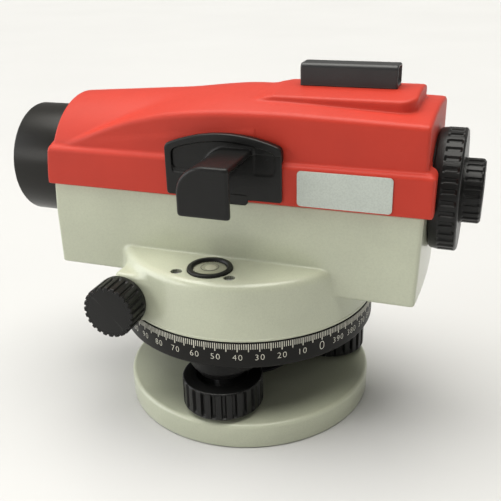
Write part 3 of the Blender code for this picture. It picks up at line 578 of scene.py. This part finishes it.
# ============================================================= 4. tribrach
def f_tribrach(x, y, z):
    rho = np.sqrt(x * x + y * y)
    plan = None
    for a in (-27.0, 93.0, 213.0):
        d = x * math.cos(math.radians(a)) + y * math.sin(math.radians(a)) - 33.4
        plan = d if plan is None else smax(plan, d, 3.0)
    plan = np.maximum(plan, rho - 46.0)
    boss = None
    for fx, fy in FEET.values():
        d = np.sqrt((x - fx) ** 2 + (y - fy) ** 2)
        plan = smin(plan, d - 13.2, 9.0)
        b2 = smax(d - 11.4, smax(30.6 - z, z - 36.0, 1.0), 1.2)
        boss = b2 if boss is None else np.minimum(boss, b2)
    slab = smax(plan, smax(33.0 - z, z - 41.0, 1.2), 2.0)
    f = smin(slab, boss, 1.5)
    f = smin(f, smax(rho - 20.0, np.abs(z - 32.0) - 2.4, 1.4), 1.5)
    f = smin(f, smax(rho - 11.5, np.abs(z - 43.0) - 7.0, 0.8), 1.2)
    f = smax(f, 8.35 - rho, 0.5)
    for fx, fy in FEET.values():
        d = np.sqrt((x - fx) ** 2 + (y - fy) ** 2)
        f = smax(f, 6.25 - d, 0.5)
    return f


trib = field_mesh("tribrach_casting", f_tribrach, (-54, -58, 28), (52, 39, 51.5), 0.9, M["black_metal"])
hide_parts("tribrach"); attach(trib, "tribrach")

# ==================================================== 5. graduated circle
ring = lathe(
    "circle_ring",
    [(57.2, 54.4), (60.7, 54.4), (60.7, 41.9), (12.0, 41.9), (12.0, 49.6), (15.5, 49.6), (15.5, 44.5), (57.2, 44.5)],
    M["black_ring"], seg=256, r=[0.3, 0.25, 1.6, 0.4, 0.4, 0.4, 1.0, 1.0], steps=5,
)
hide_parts("graduated_circle"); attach(ring, "circle")
RR = 60.7
PHI0 = -38.7


def wrap_faces(verts2d, faces, raise_by=0.05):
    """Flat (arc length, z) vertices wrapped on the ring."""
    out = []
    for s, z in verts2d:
        a = s / RR
        out.append(((RR + raise_by) * math.cos(a), (RR + raise_by) * math.sin(a), z))
    return out, faces


V, F = [], []
for g in range(400):
    a = math.radians(PHI0 - 0.9 * g)
    length = 4.05 if g % 5 == 0 else 2.85
    half = (0.21 if g % 5 == 0 else 0.165) / RR
    z1, z0 = 54.15, 54.4 - length
    i = len(V)
    for rr in (RR + 0.05, RR - 0.2):
        for da, z in ((-half, z0), (half, z0), (half, z1), (-half, z1)):
            V.append((rr * math.cos(a + da), rr * math.sin(a + da), z))
    F += [(i, i + 1, i + 2, i + 3), (i + 5, i + 4, i + 7, i + 6), (i, i + 4, i + 5, i + 1), (i + 1, i + 5, i + 6, i + 2),
          (i + 2, i + 6, i + 7, i + 3), (i + 3, i + 7, i + 4, i)]
ticks = mesh_object("circle_divisions", V, F, M["white"], smooth=False)
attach(ticks, "circle")


def text_mesh(s, height, offset=0.0, width=1.0, space=1.0):
    """A figure from Blender's own font as flat points in mm, centred, with its faces."""
    cu = bpy.data.curves.new("figure", "FONT")
    cu.body = s
    cu.align_x = "CENTER"
    cu.size = 1.0
    cu.space_character = space
    cu.offset = offset
    cu.resolution_u = 4
    ob = link(bpy.data.objects.new("figure", cu))
    bpy.context.view_layer.update()
    me = bpy.data.meshes.new_from_object(ob.evaluated_get(bpy.context.evaluated_depsgraph_get()))
    co = np.array([v.co[:2] for v in me.vertices])
    fs = [tuple(p.vertices) for p in me.polygons]
    bpy.data.objects.remove(ob, do_unlink=True)
    bpy.data.curves.remove(cu)
    bpy.data.meshes.remove(me)
    lo, hi = co.min(0), co.max(0)
    k = height / (hi[1] - lo[1])
    co = (co - (lo + hi) / 2) * np.array([k * width, k])
    return co, fs


V, F = [], []
for k in range(40):
    a0 = math.radians(PHI0 - 9.0 * k)
    if k == 0:
        # the zero is taller and drawn with a thin line
        n_ = 28
        co, fs = [], []
        for j in range(n_):
            t = 2 * math.pi * j / n_
            cx, sy = math.cos(t), math.sin(t)
            px = abs(cx) ** 0.85 * (1 if cx > 0 else -1)
            py = abs(sy) ** 0.9 * (1 if sy > 0 else -1)
            co += [(1.22 * px, 2.0 * py), (0.90 * px, 1.68 * py)]
        for j in range(n_):
            q = (j + 1) % n_
            fs.append((2 * j, 2 * q, 2 * q + 1, 2 * j + 1))
        co = np.array(co)
    else:
        co, fs = text_mesh(str(10 * k), 2.75, offset=-0.012, width=0.98, space=1.22)
    i = len(V)
    for sx, sz in co:
        a = a0 + sx / RR
        V.append(((RR + 0.05) * math.cos(a), (RR + 0.05) * math.sin(a), 47.65 + sz))
    F += [tuple(i + j for j in f_) for f_ in fs]
figs = mesh_object("circle_figures", V, F, M["white"], smooth=False)
bm = bmesh.new(); bm.from_mesh(figs.data)
bmesh.ops.triangulate(bm, faces=bm.faces)
bmesh.ops.remove_doubles(bm, verts=bm.verts, dist=1e-6)
bm.to_mesh(figs.data); bm.free()
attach(figs, "circle")


# ======================================================== 6. main housing
def f_housing(x, y, z):
    ay = np.abs(y)
    rho = np.sqrt(x * x + y * y)
    f = rbox(x, y, z, (-86.0, -31.0, 67.4), (110.0, 31.0, 140.0), 1.5)
    endx = 84.35 + 0.031 * (z - 68.0) + 1.0 * (1 - (y / 30.0) ** 2)
    endx = np.minimum(endx, 86.0)
    f = smax(f, x - endx, 1.8)
    f = smax(f, (-84.05 + 0.07 * np.maximum(z - 95.0, 0)) - x, 1.6)
    f = smax(f, z - 107.4, 0.7)
    # drum with its ledge
    cone = (rho - (58.2 + (80.2 - z) * 0.0865)) * 0.996
    drum = smax(cone, z - 80.2, 4.0)
    drum = np.maximum(drum, 55.3 - z)
    low_drum = np.maximum(np.maximum(cone, z - 69.0), 55.3 - z)
    side = smax(drum, 24.0 - ay, 0.8)
    # boss beside the tangent knob, on both sides
    boss = rbox(x, ay, z, (-44.2, 20.0, 57.0), (-26.5, 51.5, 75.8), 2.4)
    qx = np.maximum(-40.0 - x, 0) + np.maximum(x + 31.0, 0)
    boss2 = np.sqrt(qx * qx + (z - 63.7) ** 2) - 8.6
    boss2 = smax(boss2, ay - 51.5, 0.8)
    boss = smin(boss, np.maximum(boss2, 30.0 - ay), 1.5)
    boss = np.maximum(boss, 30.0 - ay)
    side = smin(side, boss, 3.0)
    f = smin(f, np.minimum(side, low_drum), 1.2)
    # hub
    hub = smax(rho - 46.5, z - 69.0, 0.5)
    hub = np.maximum(hub, 55.9 - z)
    f = smin(f, hub, 1.2)
    # hollows
    f = smax(f, -smax(rho - 43.5, z - 69.4, 0.6), 0.6)
    inner = np.minimum(
        rbox(x, y, z, (-81.2, -28.2, 82.0), (82.5, 28.2, 150.0), 1.5),
        np.maximum(rbox(x, y, z, (-81.2, -28.2, 70.6), (82.5, 28.2, 150.0), 1.5), 47.0 - np.abs(x)),
    )
    f = smax(f, -inner, 0.7)
    rt_ = np.sqrt(y * y + (z - AX) ** 2)
    f = smax(f, -np.maximum(rt_ - 27.0, x + 75.0), 0.6)
    f = smax(f, -np.maximum(rt_ - 22.4, 75.0 - x), 0.6)
    # vial pocket and its screws
    dv = np.sqrt((x + 1.0) ** 2 + (y + 43.7) ** 2)
    f = smax(f, -np.maximum(dv - 9.98, 74.6 - z), 0.25)
    for sx, sy in ((-13.8, -50.2), (10.2, -49.8)):
        ds = np.sqrt((x - sx) ** 2 + (y - sy) ** 2)
        f = smax(f, -np.maximum(ds - 2.45, 74.0 - z), 0.25)
    # shaft bores
    dt = np.sqrt((x + 40.0) ** 2 + (z - 63.7) ** 2)
    f = smax(f, -np.maximum(dt - 2.9, ay - 60), 0.4)
    df = np.sqrt((x + 18.0) ** 2 + (z - 97.0) ** 2)
    f = smax(f, -np.maximum(df - 2.9, 20.0 - y), 0.4)
    for sx in (-74, 74):
        for sy in (-22, 22):
            ds = np.sqrt((x - sx) ** 2 + (y - sy) ** 2)
            f = smax(f, -np.maximum(ds - 3.3, z - 69.0), 0.4)
    return f


HG = 0.75
P0, P1 = (-19.0, -56.5, 70.5), (15.5, -32.2, 83.0)
housing = field_mesh("housing_casting", f_housing, (-86, -63, 53), (88.5, 63, 109), HG, M["grey_paint"], skip=(P0, P1))
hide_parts("main_housing"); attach(housing, "alidade")
patch = field_mesh("housing_vial_seat", lambda x, y, z: f_housing(x, y, z) - 0.012, (-22.5, -60.0, 69.0), (19.0, -29.0, 85.0),
                   0.3, M["grey_paint"], keep=((-20.6, -58.6, 69.0), (17.1, -30.6, 84.5)))
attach(patch, "alidade")
flange = lathe("housing_flange", [(43.6, 54.8), (60.5, 54.8), (60.5, 55.9), (59.9, 56.2), (50.0, 58.0), (46.7, 58.9), (46.2, 60.5), (43.6, 60.5)],
               M["grey_paint"], seg=256, r=[0.2, 0.25, 0.35, 0.4, 2.0, 1.2, 0.1, 0.1])
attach(flange, "alidade")

# ============================================================ 7. top cover
XT = np.arange(-100, 100, 0.5)
_e = np.interp(XT, [-90, -82, -80, -66, -60, -56, -44, -28, -13, 1, 15, 29, 55, 86, 100],
               [118.6, 122.9, 123.9, 130.2, 132.6, 134.2, 138.3, 141.8, 143.6, 144.5, 144.8, 144.9, 144.3, 143.4, 143.0])
_k = np.interp(XT, [-90, -60, -45, -38, -20, 0, 20, 50, 86, 100], [2.0, 2.8, 3.2, 4.0, 5.2, 6.0, 5.6, 4.0, 2.4, 2.4])
ker = np.exp(-0.5 * (np.arange(-24, 25) * 0.5 / 3.0) ** 2)
ker /= ker.sum()
_e = np.convolve(np.pad(_e, 24, mode="edge"), ker, mode="valid")
_k = np.convolve(np.pad(_k, 24, mode="edge"), ker, mode="valid")


def f_cover_body(x, y, z, grow=0.0):
    ay = np.abs(y)
    e = np.interp(x, XT, _e)
    k = np.interp(x, XT, _k)
    top = (z - (e + k * (1 - (y / 30.3) ** 2))) * 0.96
    side = ay - (30.3 + (125.0 - z) * 0.006)
    body = smax(top, side, 2.2)
    body = smax(body, x - 85.8, 1.8)
    body = smax(body, -82.0 - x, 1.2)
    rt_ = np.sqrt(y * y + (z - AX) ** 2)
    nose = (rt_ - (33.6 + 0.0714 * (x + 82.0))) * 0.9975
    nose = smax(nose, ay - 30.15, 1.0)
    nose = smax(nose, -82.0 - x, 1.6)
    nose = np.maximum(nose, x - 15.0)
    return smin(body, nose, 1.3)


def f_cover(x, y, z):
    ay = np.abs(y)
    shell = f_cover_body(x, y, z)
    out = shell
    # pad
    pt = 150.1 + 2.2 * (1 - (y / 19.6) ** 2)
    pt = pt - np.interp(x, [0, 8, 12, 16, 20, 100], [7.5, 3.9, 2.2, 0.8, 0.0, 0.0])
    pad = smax(rrect(x, y, (-10.0, -19.7), (78.3, 19.7), 7.0), z - pt, 1.5)
    pad = np.maximum(pad, 138.0 - z)
    out = smin(out, pad, 0.9)
    # lower band with a sloping ledge
    band = rrect(x, y, (-85.6, -32.8), (89.0, 32.8), 1.6)
    ledge = (z - (124.5 + 0.45 * (32.8 - ay))) * 0.91
    endl = (z - (124.5 + 0.6 * (89.0 - x))) * 0.9
    band = smax(band, np.minimum(ledge, 50.0), 1.5)
    band = smax(band, endl, 1.5)
    band = smax(band, (-85.7 + 0.14 * (z - 107.7)) - x, 1.2)
    out = smin(out, band, 0.8)
    out = smax(out, 107.7 - z, 0.7)
    inner = shell + 2.5
    out = smax(out, -inner, 0.6)
    rt_ = np.sqrt(y * y + (z - AX) ** 2)
    out = smax(out, -np.maximum(rt_ - 27.0, x + 60.0), 0.9)
    out = smax(out, -np.maximum(rt_ - 22.4, 75.0 - x), 0.6)
    out = smax(out, -np.maximum(rt_ - 26.4, 86.0 - x), 0.6)
    return out


cover = field_mesh("cover_shell", f_cover, (-88, -35, 105), (91, 35, 154.5), HG, M["red_plastic"])
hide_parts("top_cover"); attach(cover, "alidade")


# ======================================================= 8. mirror bracket
def f_bracket(x, y, z):
    arch = (z - (137.0 - (x - 4.0) ** 2 / 128.0)) * 0.97
    plan = smax(arch, rrect(x, z, (-23.4, 109.0), (28.6, 160.0), 1.6), 2.2)
    plate = smax(plan, smax(-35.1 - y, y + 33.1, 0.3), 1.0)
    back = np.maximum(smax(plan + 0.4, 125.8 - z, 0.8), smax(-34.5 - y, y + 30.7, 0.3))
    plate = np.minimum(plate, back)
    # recess inside the rim, above the double ledge
    pan = smax(plan + 3.4, 120.6 - z, 2.6)
    plate = smax(plate, -smax(pan, y + 33.9, 0.3), 0.8)
    pan2 = smax(plan + 3.4, 119.2 - z, 1.6)
    plate = smax(plate, -smax(pan2, y + 34.7, 0.2), 0.4)
    # hood
    qx, qz = x - 5.6, z - 119.0
    arcq = np.sqrt(np.minimum(qx, 0) ** 2 + np.maximum(qz, 0) ** 2) - 11.9
    prof = np.where((qx < 0) & (qz > 0), arcq, np.maximum(np.maximum(-11.9 - qx, qz - 11.9), -5.0))
    hood = smax(prof, x - 15.9, 1.6)
    hood = smax(hood, 110.0 - z, 1.6)
    hood = smax(hood, -62.0 - y, 1.6)
    hood = np.maximum(hood, y + 34.0)
    f = smin(plate, hood, 1.6)
    arci = np.sqrt(np.minimum(qx, 0) ** 2 + np.maximum(qz, 0) ** 2) - 9.9
    profi = np.where((qx < 0) & (qz > 0), arci, np.maximum(np.maximum(-9.9 - qx, qz - 9.9), -5.0))
    inn = np.maximum(profi, np.maximum(-60.0 - y, y + 34.0))
    f = smax(f, -inn, 0.5)
    # lug under the plate
    lug = rbox(x, y, z, (-3.0, -37.0, 106.6), (13.2, -31.6, 111.0), 0.8)
    lug = smax(lug, (x - 13.2 - (z - 107.4) * 0.8) * 0.78, 0.8)
    lug = np.maximum(lug, -inn)
    return smin(f, lug, 0.5)


bracket = field_mesh("mirror_hood", f_bracket, (-25.5, -64, 105), (31, -29, 139), 0.5, M["black_plastic"])
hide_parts("mirror_bracket"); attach(bracket, "alidade")

bm = bmesh.new()
bmesh.ops.create_cube(bm, size=1.0)
bmesh.ops.scale(bm, vec=(24.4 * MM, 23.7 * MM, 1.4 * MM), verts=bm.verts)
bmesh.ops.bevel(bm, geom=list(bm.edges), offset=0.35 * MM, segments=2, affect="EDGES")
me = bpy.data.meshes.new("mirror_glass_plate"); bm.to_mesh(me); bm.free()
me.materials.append(M["mirror_glass"])
mir = link(bpy.data.objects.new("mirror_glass_plate", me))
mir.matrix_world = Matrix.Translation(Vector((5.2, -47.75, 119.2)) * MM) @ Matrix.Rotation(math.radians(-45), 4, "Y")
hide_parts("mirror"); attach(mir, "alidade")


# ============================================================ 9. peep sight
def f_sight(x, y, z):
    f = rrect(y, z, (-5.6, 145.0), (5.6, 161.5), 2.0)
    f = smax(f, np.abs(x - 48.2) - 20.4, 0.9)
    f = np.maximum(f, 152.2 - z)
    f = smax(f, -rrect(y, z, (-3.8, 154.4), (3.8, 159.8), 0.8), 0.4)
    flare = rrect(y, z, (-3.8, 154.4), (3.8, 159.8), 0.8) - np.maximum(np.abs(x - 48.2) - 19.0, 0) * 0.55
    return smax(f, -flare, 0.3)


sight = field_mesh("sight_tube", f_sight, (26.5, -7, 151), (70, 7, 163), 0.4, M["black_sight"])
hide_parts("peep_sight"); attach(sight, "alidade")


# ============================================================ 10. name plate
def rounded_outline(x0, x1, y0, y1, r, n=8):
    pts = []
    for cx, cy, a0 in ((x1 - r, y1 - r, 0), (x0 + r, y1 - r, 90), (x0 + r, y0 + r, 180), (x1 - r, y0 + r, 270)):
        for i in range(n + 1):
            a = math.radians(a0 + 90 * i / n)
            pts.append((cx + r * math.cos(a), cy + r * math.sin(a)))
    return pts


lay = []
for inset, yy in ((0.0, -32.9), (0.0, -33.32), (0.12, -33.4)):
    lay.append([(px, yy, pz) for px, pz in rounded_outline(34.5 + inset, 73.2 - inset, 108.55 + inset, 123.45 - inset, 1.6 - inset)])
V = [p for row in lay for p in row]
n_ = len(lay[0])
F = []
for i in range(2):
    for j in range(n_):
        k = (j + 1) % n_
        F.append((i * n_ + j, i * n_ + k, (i + 1) * n_ + k, (i + 1) * n_ + j))
F.append(tuple(range(2 * n_, 3 * n_)))
F.append(tuple(range(n_))[::-1])
plate = clean(mesh_object("name_plate_blank", V, F, M["plate"]), angle=30)
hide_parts("name_plate"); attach(plate, "alidade")

# ================================================================= 11. vial
VX, VY = -1.0, -43.7
vr = lathe("vial_bezel", [(7.4, 80.6), (8.0, 81.4), (9.8, 81.3), (9.8, 75.0), (7.4, 75.0)], M["black_plastic"], seg=96,
           at=(VX, VY, 0), r=[0.3, 0.35, 0.5, 0.2, 0.2])
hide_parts("vial_ring"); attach(vr, "alidade")
m, nt, b = new_mat("vial_liquid")
n = noise(nt, 120.0, 2.0, 0.5)
c = ramp(nt, n.outputs["Fac"], [(0.3, (0.27, 0.275, 0.20)), (0.7, (0.33, 0.335, 0.245))])
nt.links.new(c.outputs["Color"], b.inputs["Base Color"])
mr = maprange(nt, n.outputs["Fac"], 0.04, 0.09)
nt.links.new(mr.outputs["Result"], b.inputs["Roughness"])
b.inputs["Coat Weight"].default_value = 1.0
b.inputs["Coat Roughness"].default_value = 0.03
M["liquid"] = m
vg = lathe("vial_dome", [(0, 81.0), (2.0, 80.97), (4.0, 80.85), (6.0, 80.55), (7.2, 80.2), (7.2, 75.2), (0, 75.2)], M["liquid"], seg=96,
           at=(VX, VY, 0), closed=False, angle=50)
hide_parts("vial_glass"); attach(vg, "alidade")
circ = lathe("vial_mark", [(3.75, 80.93), (4.0, 80.90), (4.0, 80.78), (3.75, 80.80)], M["black_ring"], seg=72, at=(VX, VY, 0))
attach(circ, "alidade")
m, nt, b = new_mat("vial_bubble")
n = noise(nt, 300.0, 2.0, 0.5)
c = ramp(nt, n.outputs["Fac"], [(0.3, (0.40, 0.40, 0.30)), (0.7, (0.47, 0.47, 0.36))])
nt.links.new(c.outputs["Color"], b.inputs["Base Color"])
mr = maprange(nt, n.outputs["Fac"], 0.05, 0.12)
nt.links.new(mr.outputs["Result"], b.inputs["Roughness"])
M["bubble"] = m
bub = lathe("vial_bubble", [(0, 81.20), (1.2, 81.17), (2.2, 81.05), (2.7, 80.90), (2.75, 80.75), (0, 80.75)], M["bubble"], seg=64,
            at=(VX + 0.5, VY - 0.2, 0), closed=False, angle=60)
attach(bub, "alidade")
for side, (sx, sy) in {"left": (-13.8, -50.2), "right": (10.2, -49.8)}.items():
    prof = [(0, 77.2), (1.05, 77.2), (1.05, 78.5), (1.3, 78.8), (2.0, 78.8), (2.3, 78.5), (2.3, 74.3), (0, 74.3)]

    def hexed(th, r, z):
        hexr = 1.05 / np.cos(((th + 0.3) % (math.pi / 3)) - math.pi / 6)
        return np.where((r > 0.5) & (r < 1.2), hexr * 0.97 - 1.05, 0.0)
    sc = lathe(f"vial_adjuster_{side}", prof, M["steel"], seg=60, at=(sx, sy, 0), closed=False, radial=hexed, angle=30)
    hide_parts(f"vial_screw_{side}"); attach(sc, "alidade")

# thin dark liners inside the vial screw holes: painted shade in holes that are part of the grey casting
for side, (sx, sy) in {"left": (-13.8, -50.2), "right": (10.2, -49.8)}.items():
    hole_shade_liner = lathe(f"vial_screw_hole_painted_shade_{side}", [(2.42, 79.75), (2.44, 79.75), (2.44, 74.1), (0, 74.1), (0, 74.2), (2.42, 74.2)], M["black_metal"], seg=48,
                at=(sx, sy, 0), closed=False)
    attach(hole_shade_liner, "alidade")

# ======================================================== 12. tangent drive
for side, sign in (("near", -1), ("far", 1)):
    prof = fillet([(0, 65.6), (9.0, 65.6), (9.3, 65.55), (11.95, 65.55), (11.95, 54.9), (11.7, 52.3), (2.8, 52.3), (2.8, 63.3), (0, 63.3)],
                  [0, 0.1, 0.1, 0.55, 0.6, 0.9, 0.2, 0, 0], 6)
    prof = dense(prof, 0.35)
    fl = fluting(24, 0.85, 55.0, 66.6, 10.6, run=1.1, duty=0.60)
    ang = np.linspace(0, 2 * math.pi, 24 * 16, endpoint=False)
    v, f = grid_turn(prof, ang, fl, False)
    v = v @ TURN["Y"].T
    if sign < 0:
        v = v * np.array([1, -1, 1])
    v = v + np.array([-40.0, 0, 63.7])
    kn = clean(mesh_object(f"tangent_grip_{side}", v, f, M["black_plastic"]), angle=50)
    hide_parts(f"tangent_knob_{side}"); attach(kn, "tangent_drive")

# ============================================================ 13. objective
barrel = lathe("objective_tube",
               [(22.6, -70.0), (26.6, -70.0), (26.6, -108.2), (24.6, -108.2), (24.2, -107.4), (24.0, -104.9), (23.6, -104.6), (23.6, -104.0),
                (23.4, -103.7), (23.4, -94.0), (22.6, -93.0)],
               M["black_tube"], seg=192, at=(0, 0, AX), axis="X", r=[0, 0.3, 1.1, 0.5, 0.2, 0.2, 0.1, 0.1, 0.1, 0.2, 0], steps=6)
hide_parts("objective_barrel"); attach(barrel, "alidade")
ret = lathe("objective_retaining_ring",
            [(20.8, -100.4), (23.1, -100.4), (23.1, -102.8), (22.4, -102.8), (22.2, -102.3), (21.6, -102.3), (21.3, -101.8), (20.8, -101.8)],
            M["black_metal"], seg=128, at=(0, 0, AX), axis="X", r=0.15)
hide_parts("objective_retainer"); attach(ret, "alidade")
pts = [(0, -94.4), (12, -94.5), (23.1, -94.8), (23.1, -98.7)]
for i in range(13):
    r_ = 22.9 * (1 - i / 12)
    pts.append((r_, -101.2 + 2.3 * (r_ / 22.9) ** 2))
lens = lathe("objective_front_glass", pts, M["coated_glass"], seg=96, at=(0, 0, AX), axis="X", closed=False, angle=30)
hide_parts("objective_lens_front"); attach(lens, "alidade")

# ============================================================= 14. eyepiece
prof = fillet([(14.3, 97.2), (16.5, 97.6), (25.0, 97.6), (25.9, 97.0), (25.9, 90.0), (25.4, 87.0), (24.9, 86.4), (22.8, 86.4), (22.8, 92.0), (14.3, 92.0)],
              [0.2, 0.4, 0.5, 0.8, 0.8, 0.5, 0.2, 0.2, 0.4, 0.2], 5, True)
prof = dense(prof + [prof[0]], 0.35)[:-1]
cr = lathe("eyepiece_guard_ring", prof, M["black_plastic"], seg=36 * 14, at=(0, 0, AX), axis="X",
           radial=fluting(36, 0.80, 90.2, 96.6, 25.3, run=0.9, duty=0.50), angle=50)
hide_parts("eyepiece_cover_ring"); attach(cr, "alidade")
prof = fillet([(6.3, 105.0), (7.2, 105.9), (12.6, 105.9), (13.6, 104.9), (13.6, 92.5), (11.0, 92.5), (11.0, 101.6), (6.3, 101.6)],
              [0.2, 0.3, 0.5, 0.6, 0.3, 0.2, 0.2, 0.2], 5, True)
prof = dense(prof + [prof[0]], 0.35)[:-1]
er = lathe("eyepiece_focus_ring", prof, M["black_plastic"], seg=24 * 16, at=(0, 0, AX), axis="X",
           radial=fluting(24, 0.75, 98.6, 105.2, 12.4, run=0.9, duty=0.56), angle=50)
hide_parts("eyepiece_ring"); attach(er, "eyepiece_ring_body")
el = lathe("eyepiece_glass", [(0, 97.4), (2.5, 97.3), (5.0, 96.7), (6.6, 95.8), (6.6, 92.6), (0, 91.6)], M["coated_glass"], seg=64,
           at=(0, 0, AX), axis="X", closed=False, angle=30)
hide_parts("eyepiece_lens"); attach(el, "eyepiece_cell_body")

# ========================================================= 15. focusing knob
prof = fillet([(0, 65.5), (11.8, 65.5), (12.6, 64.9), (15.5, 64.6), (15.5, 40.5), (14.6, 36.6), (9.2, 36.4), (9.0, 31.8), (2.8, 31.6), (2.8, 62.0), (0, 62.0)],
              [0, 0.4, 0.4, 1.6, 1.0, 0.8, 0.5, 0.4, 0, 0, 0], 6)
prof = dense(prof, 0.5)
ang = np.linspace(0, 2 * math.pi, 30 * 14, endpoint=False)
v, f = grid_turn(prof, ang, fluting(30, 0.9, 41.0, 64.4, 14.0, run=1.2, duty=0.6), False)
v = v @ TURN["Y"].T + np.array([-18.0, 0, 97.0])
fkn = clean(mesh_object("focus_grip", v, f, M["black_plastic"]), angle=50)
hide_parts("focus_knob"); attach(fkn, "focus_drive")

# ========================================================== 16. cover screws
for tag, (sx, sy) in {"a": (-74, -22), "b": (-74, 22), "c": (74, -22), "d": (74, 22)}.items():
    prof = [(0, 68.7), (3.0, 68.7), (3.0, 67.95), (2.7, 67.6), (1.5, 67.6), (1.3, 68.1), (0, 68.1)]
    sc = lathe(f"cover_fixing_{tag}", prof, M["steel"], seg=48, at=(sx, sy, 0), closed=False, angle=30)
    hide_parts(f"cover_screw_{tag}"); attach(sc, "alidade")

# ================================================== CAD nodes carried over
slots = {s["node"]: s["material_slot"] for s in frame["record"]["subparts"]}
for name, obj in frame["nodes"].items():
    if obj.hide_render:
        continue
    mat = M.get(slots.get(name, "black_metal"), M["black_metal"])
    obj.data.materials.clear()
    obj.data.materials.append(mat)
    for p in obj.data.polygons:
        p.material_index = 0

# ============================================================ floor, lights
bm = bmesh.new()
bmesh.ops.create_grid(bm, x_segments=60, y_segments=60, size=12.0)
me = bpy.data.meshes.new("floor"); bm.to_mesh(me); bm.free()
m, nt, b = new_mat("pale_floor")
n = noise(nt, 3.0, 3.0, 0.5)
c = ramp(nt, n.outputs["Fac"], [(0.2, (0.54, 0.54, 0.54)), (0.8, (0.57, 0.57, 0.57))])
nt.links.new(c.outputs["Color"], b.inputs["Base Color"])
b.inputs["Roughness"].default_value = 0.75
b.inputs["Specular IOR Level"].default_value = 0.2
me.materials.append(m)
floor = link(bpy.data.objects.new("floor", me))
floor.location.z = -0.0002

bpy.context.scene.view_settings.view_transform = "Standard"
world = bpy.data.worlds.new("studio") if bpy.context.scene.world is None else bpy.context.scene.world
bpy.context.scene.world = world
world.use_nodes = True
nt = world.node_tree
bg = nt.nodes.get("Background") or nt.nodes.new("ShaderNodeBackground")
bg.inputs["Color"].default_value = (1.0, 0.975, 0.93, 1)
bg.inputs["Strength"].default_value = 0.26
wo = nt.nodes.get("World Output") or nt.nodes.new("ShaderNodeOutputWorld")
nt.links.new(bg.outputs["Background"], wo.inputs["Surface"])


def area(name, loc, target, size, power, colour=(1, 1, 1), size_y=None):
    L = bpy.data.lights.new(name, "AREA")
    L.energy = power
    L.color = colour
    L.size = size
    if size_y:
        L.shape = "RECTANGLE"
        L.size_y = size_y
    o = link(bpy.data.objects.new(name, L))
    o.location = loc
    o.rotation_euler = (Vector(target) - Vector(loc)).to_track_quat("-Z", "Y").to_euler()
    return o


def sun(name, toward, strength, angle, colour=(1, 1, 1)):
    L = bpy.data.lights.new(name, "SUN")
    L.energy = strength
    L.angle = math.radians(angle)
    L.color = colour
    o = link(bpy.data.objects.new(name, L))
    o.rotation_euler = (-Vector(toward)).to_track_quat("-Z", "Y").to_euler()
    return o


sun("overhead_soft", (-0.10, 0.05, 1.0), 4.2, 62, (1.0, 0.985, 0.93))
sun("left_soft", (-0.93, -0.27, 0.26), 1.45, 50, (0.96, 0.98, 1.0))
area("key", (-0.67, -0.80, 0.36), (-0.06, 0, 0.10), 0.26, 1.45, (1.0, 0.98, 0.93), size_y=0.34)
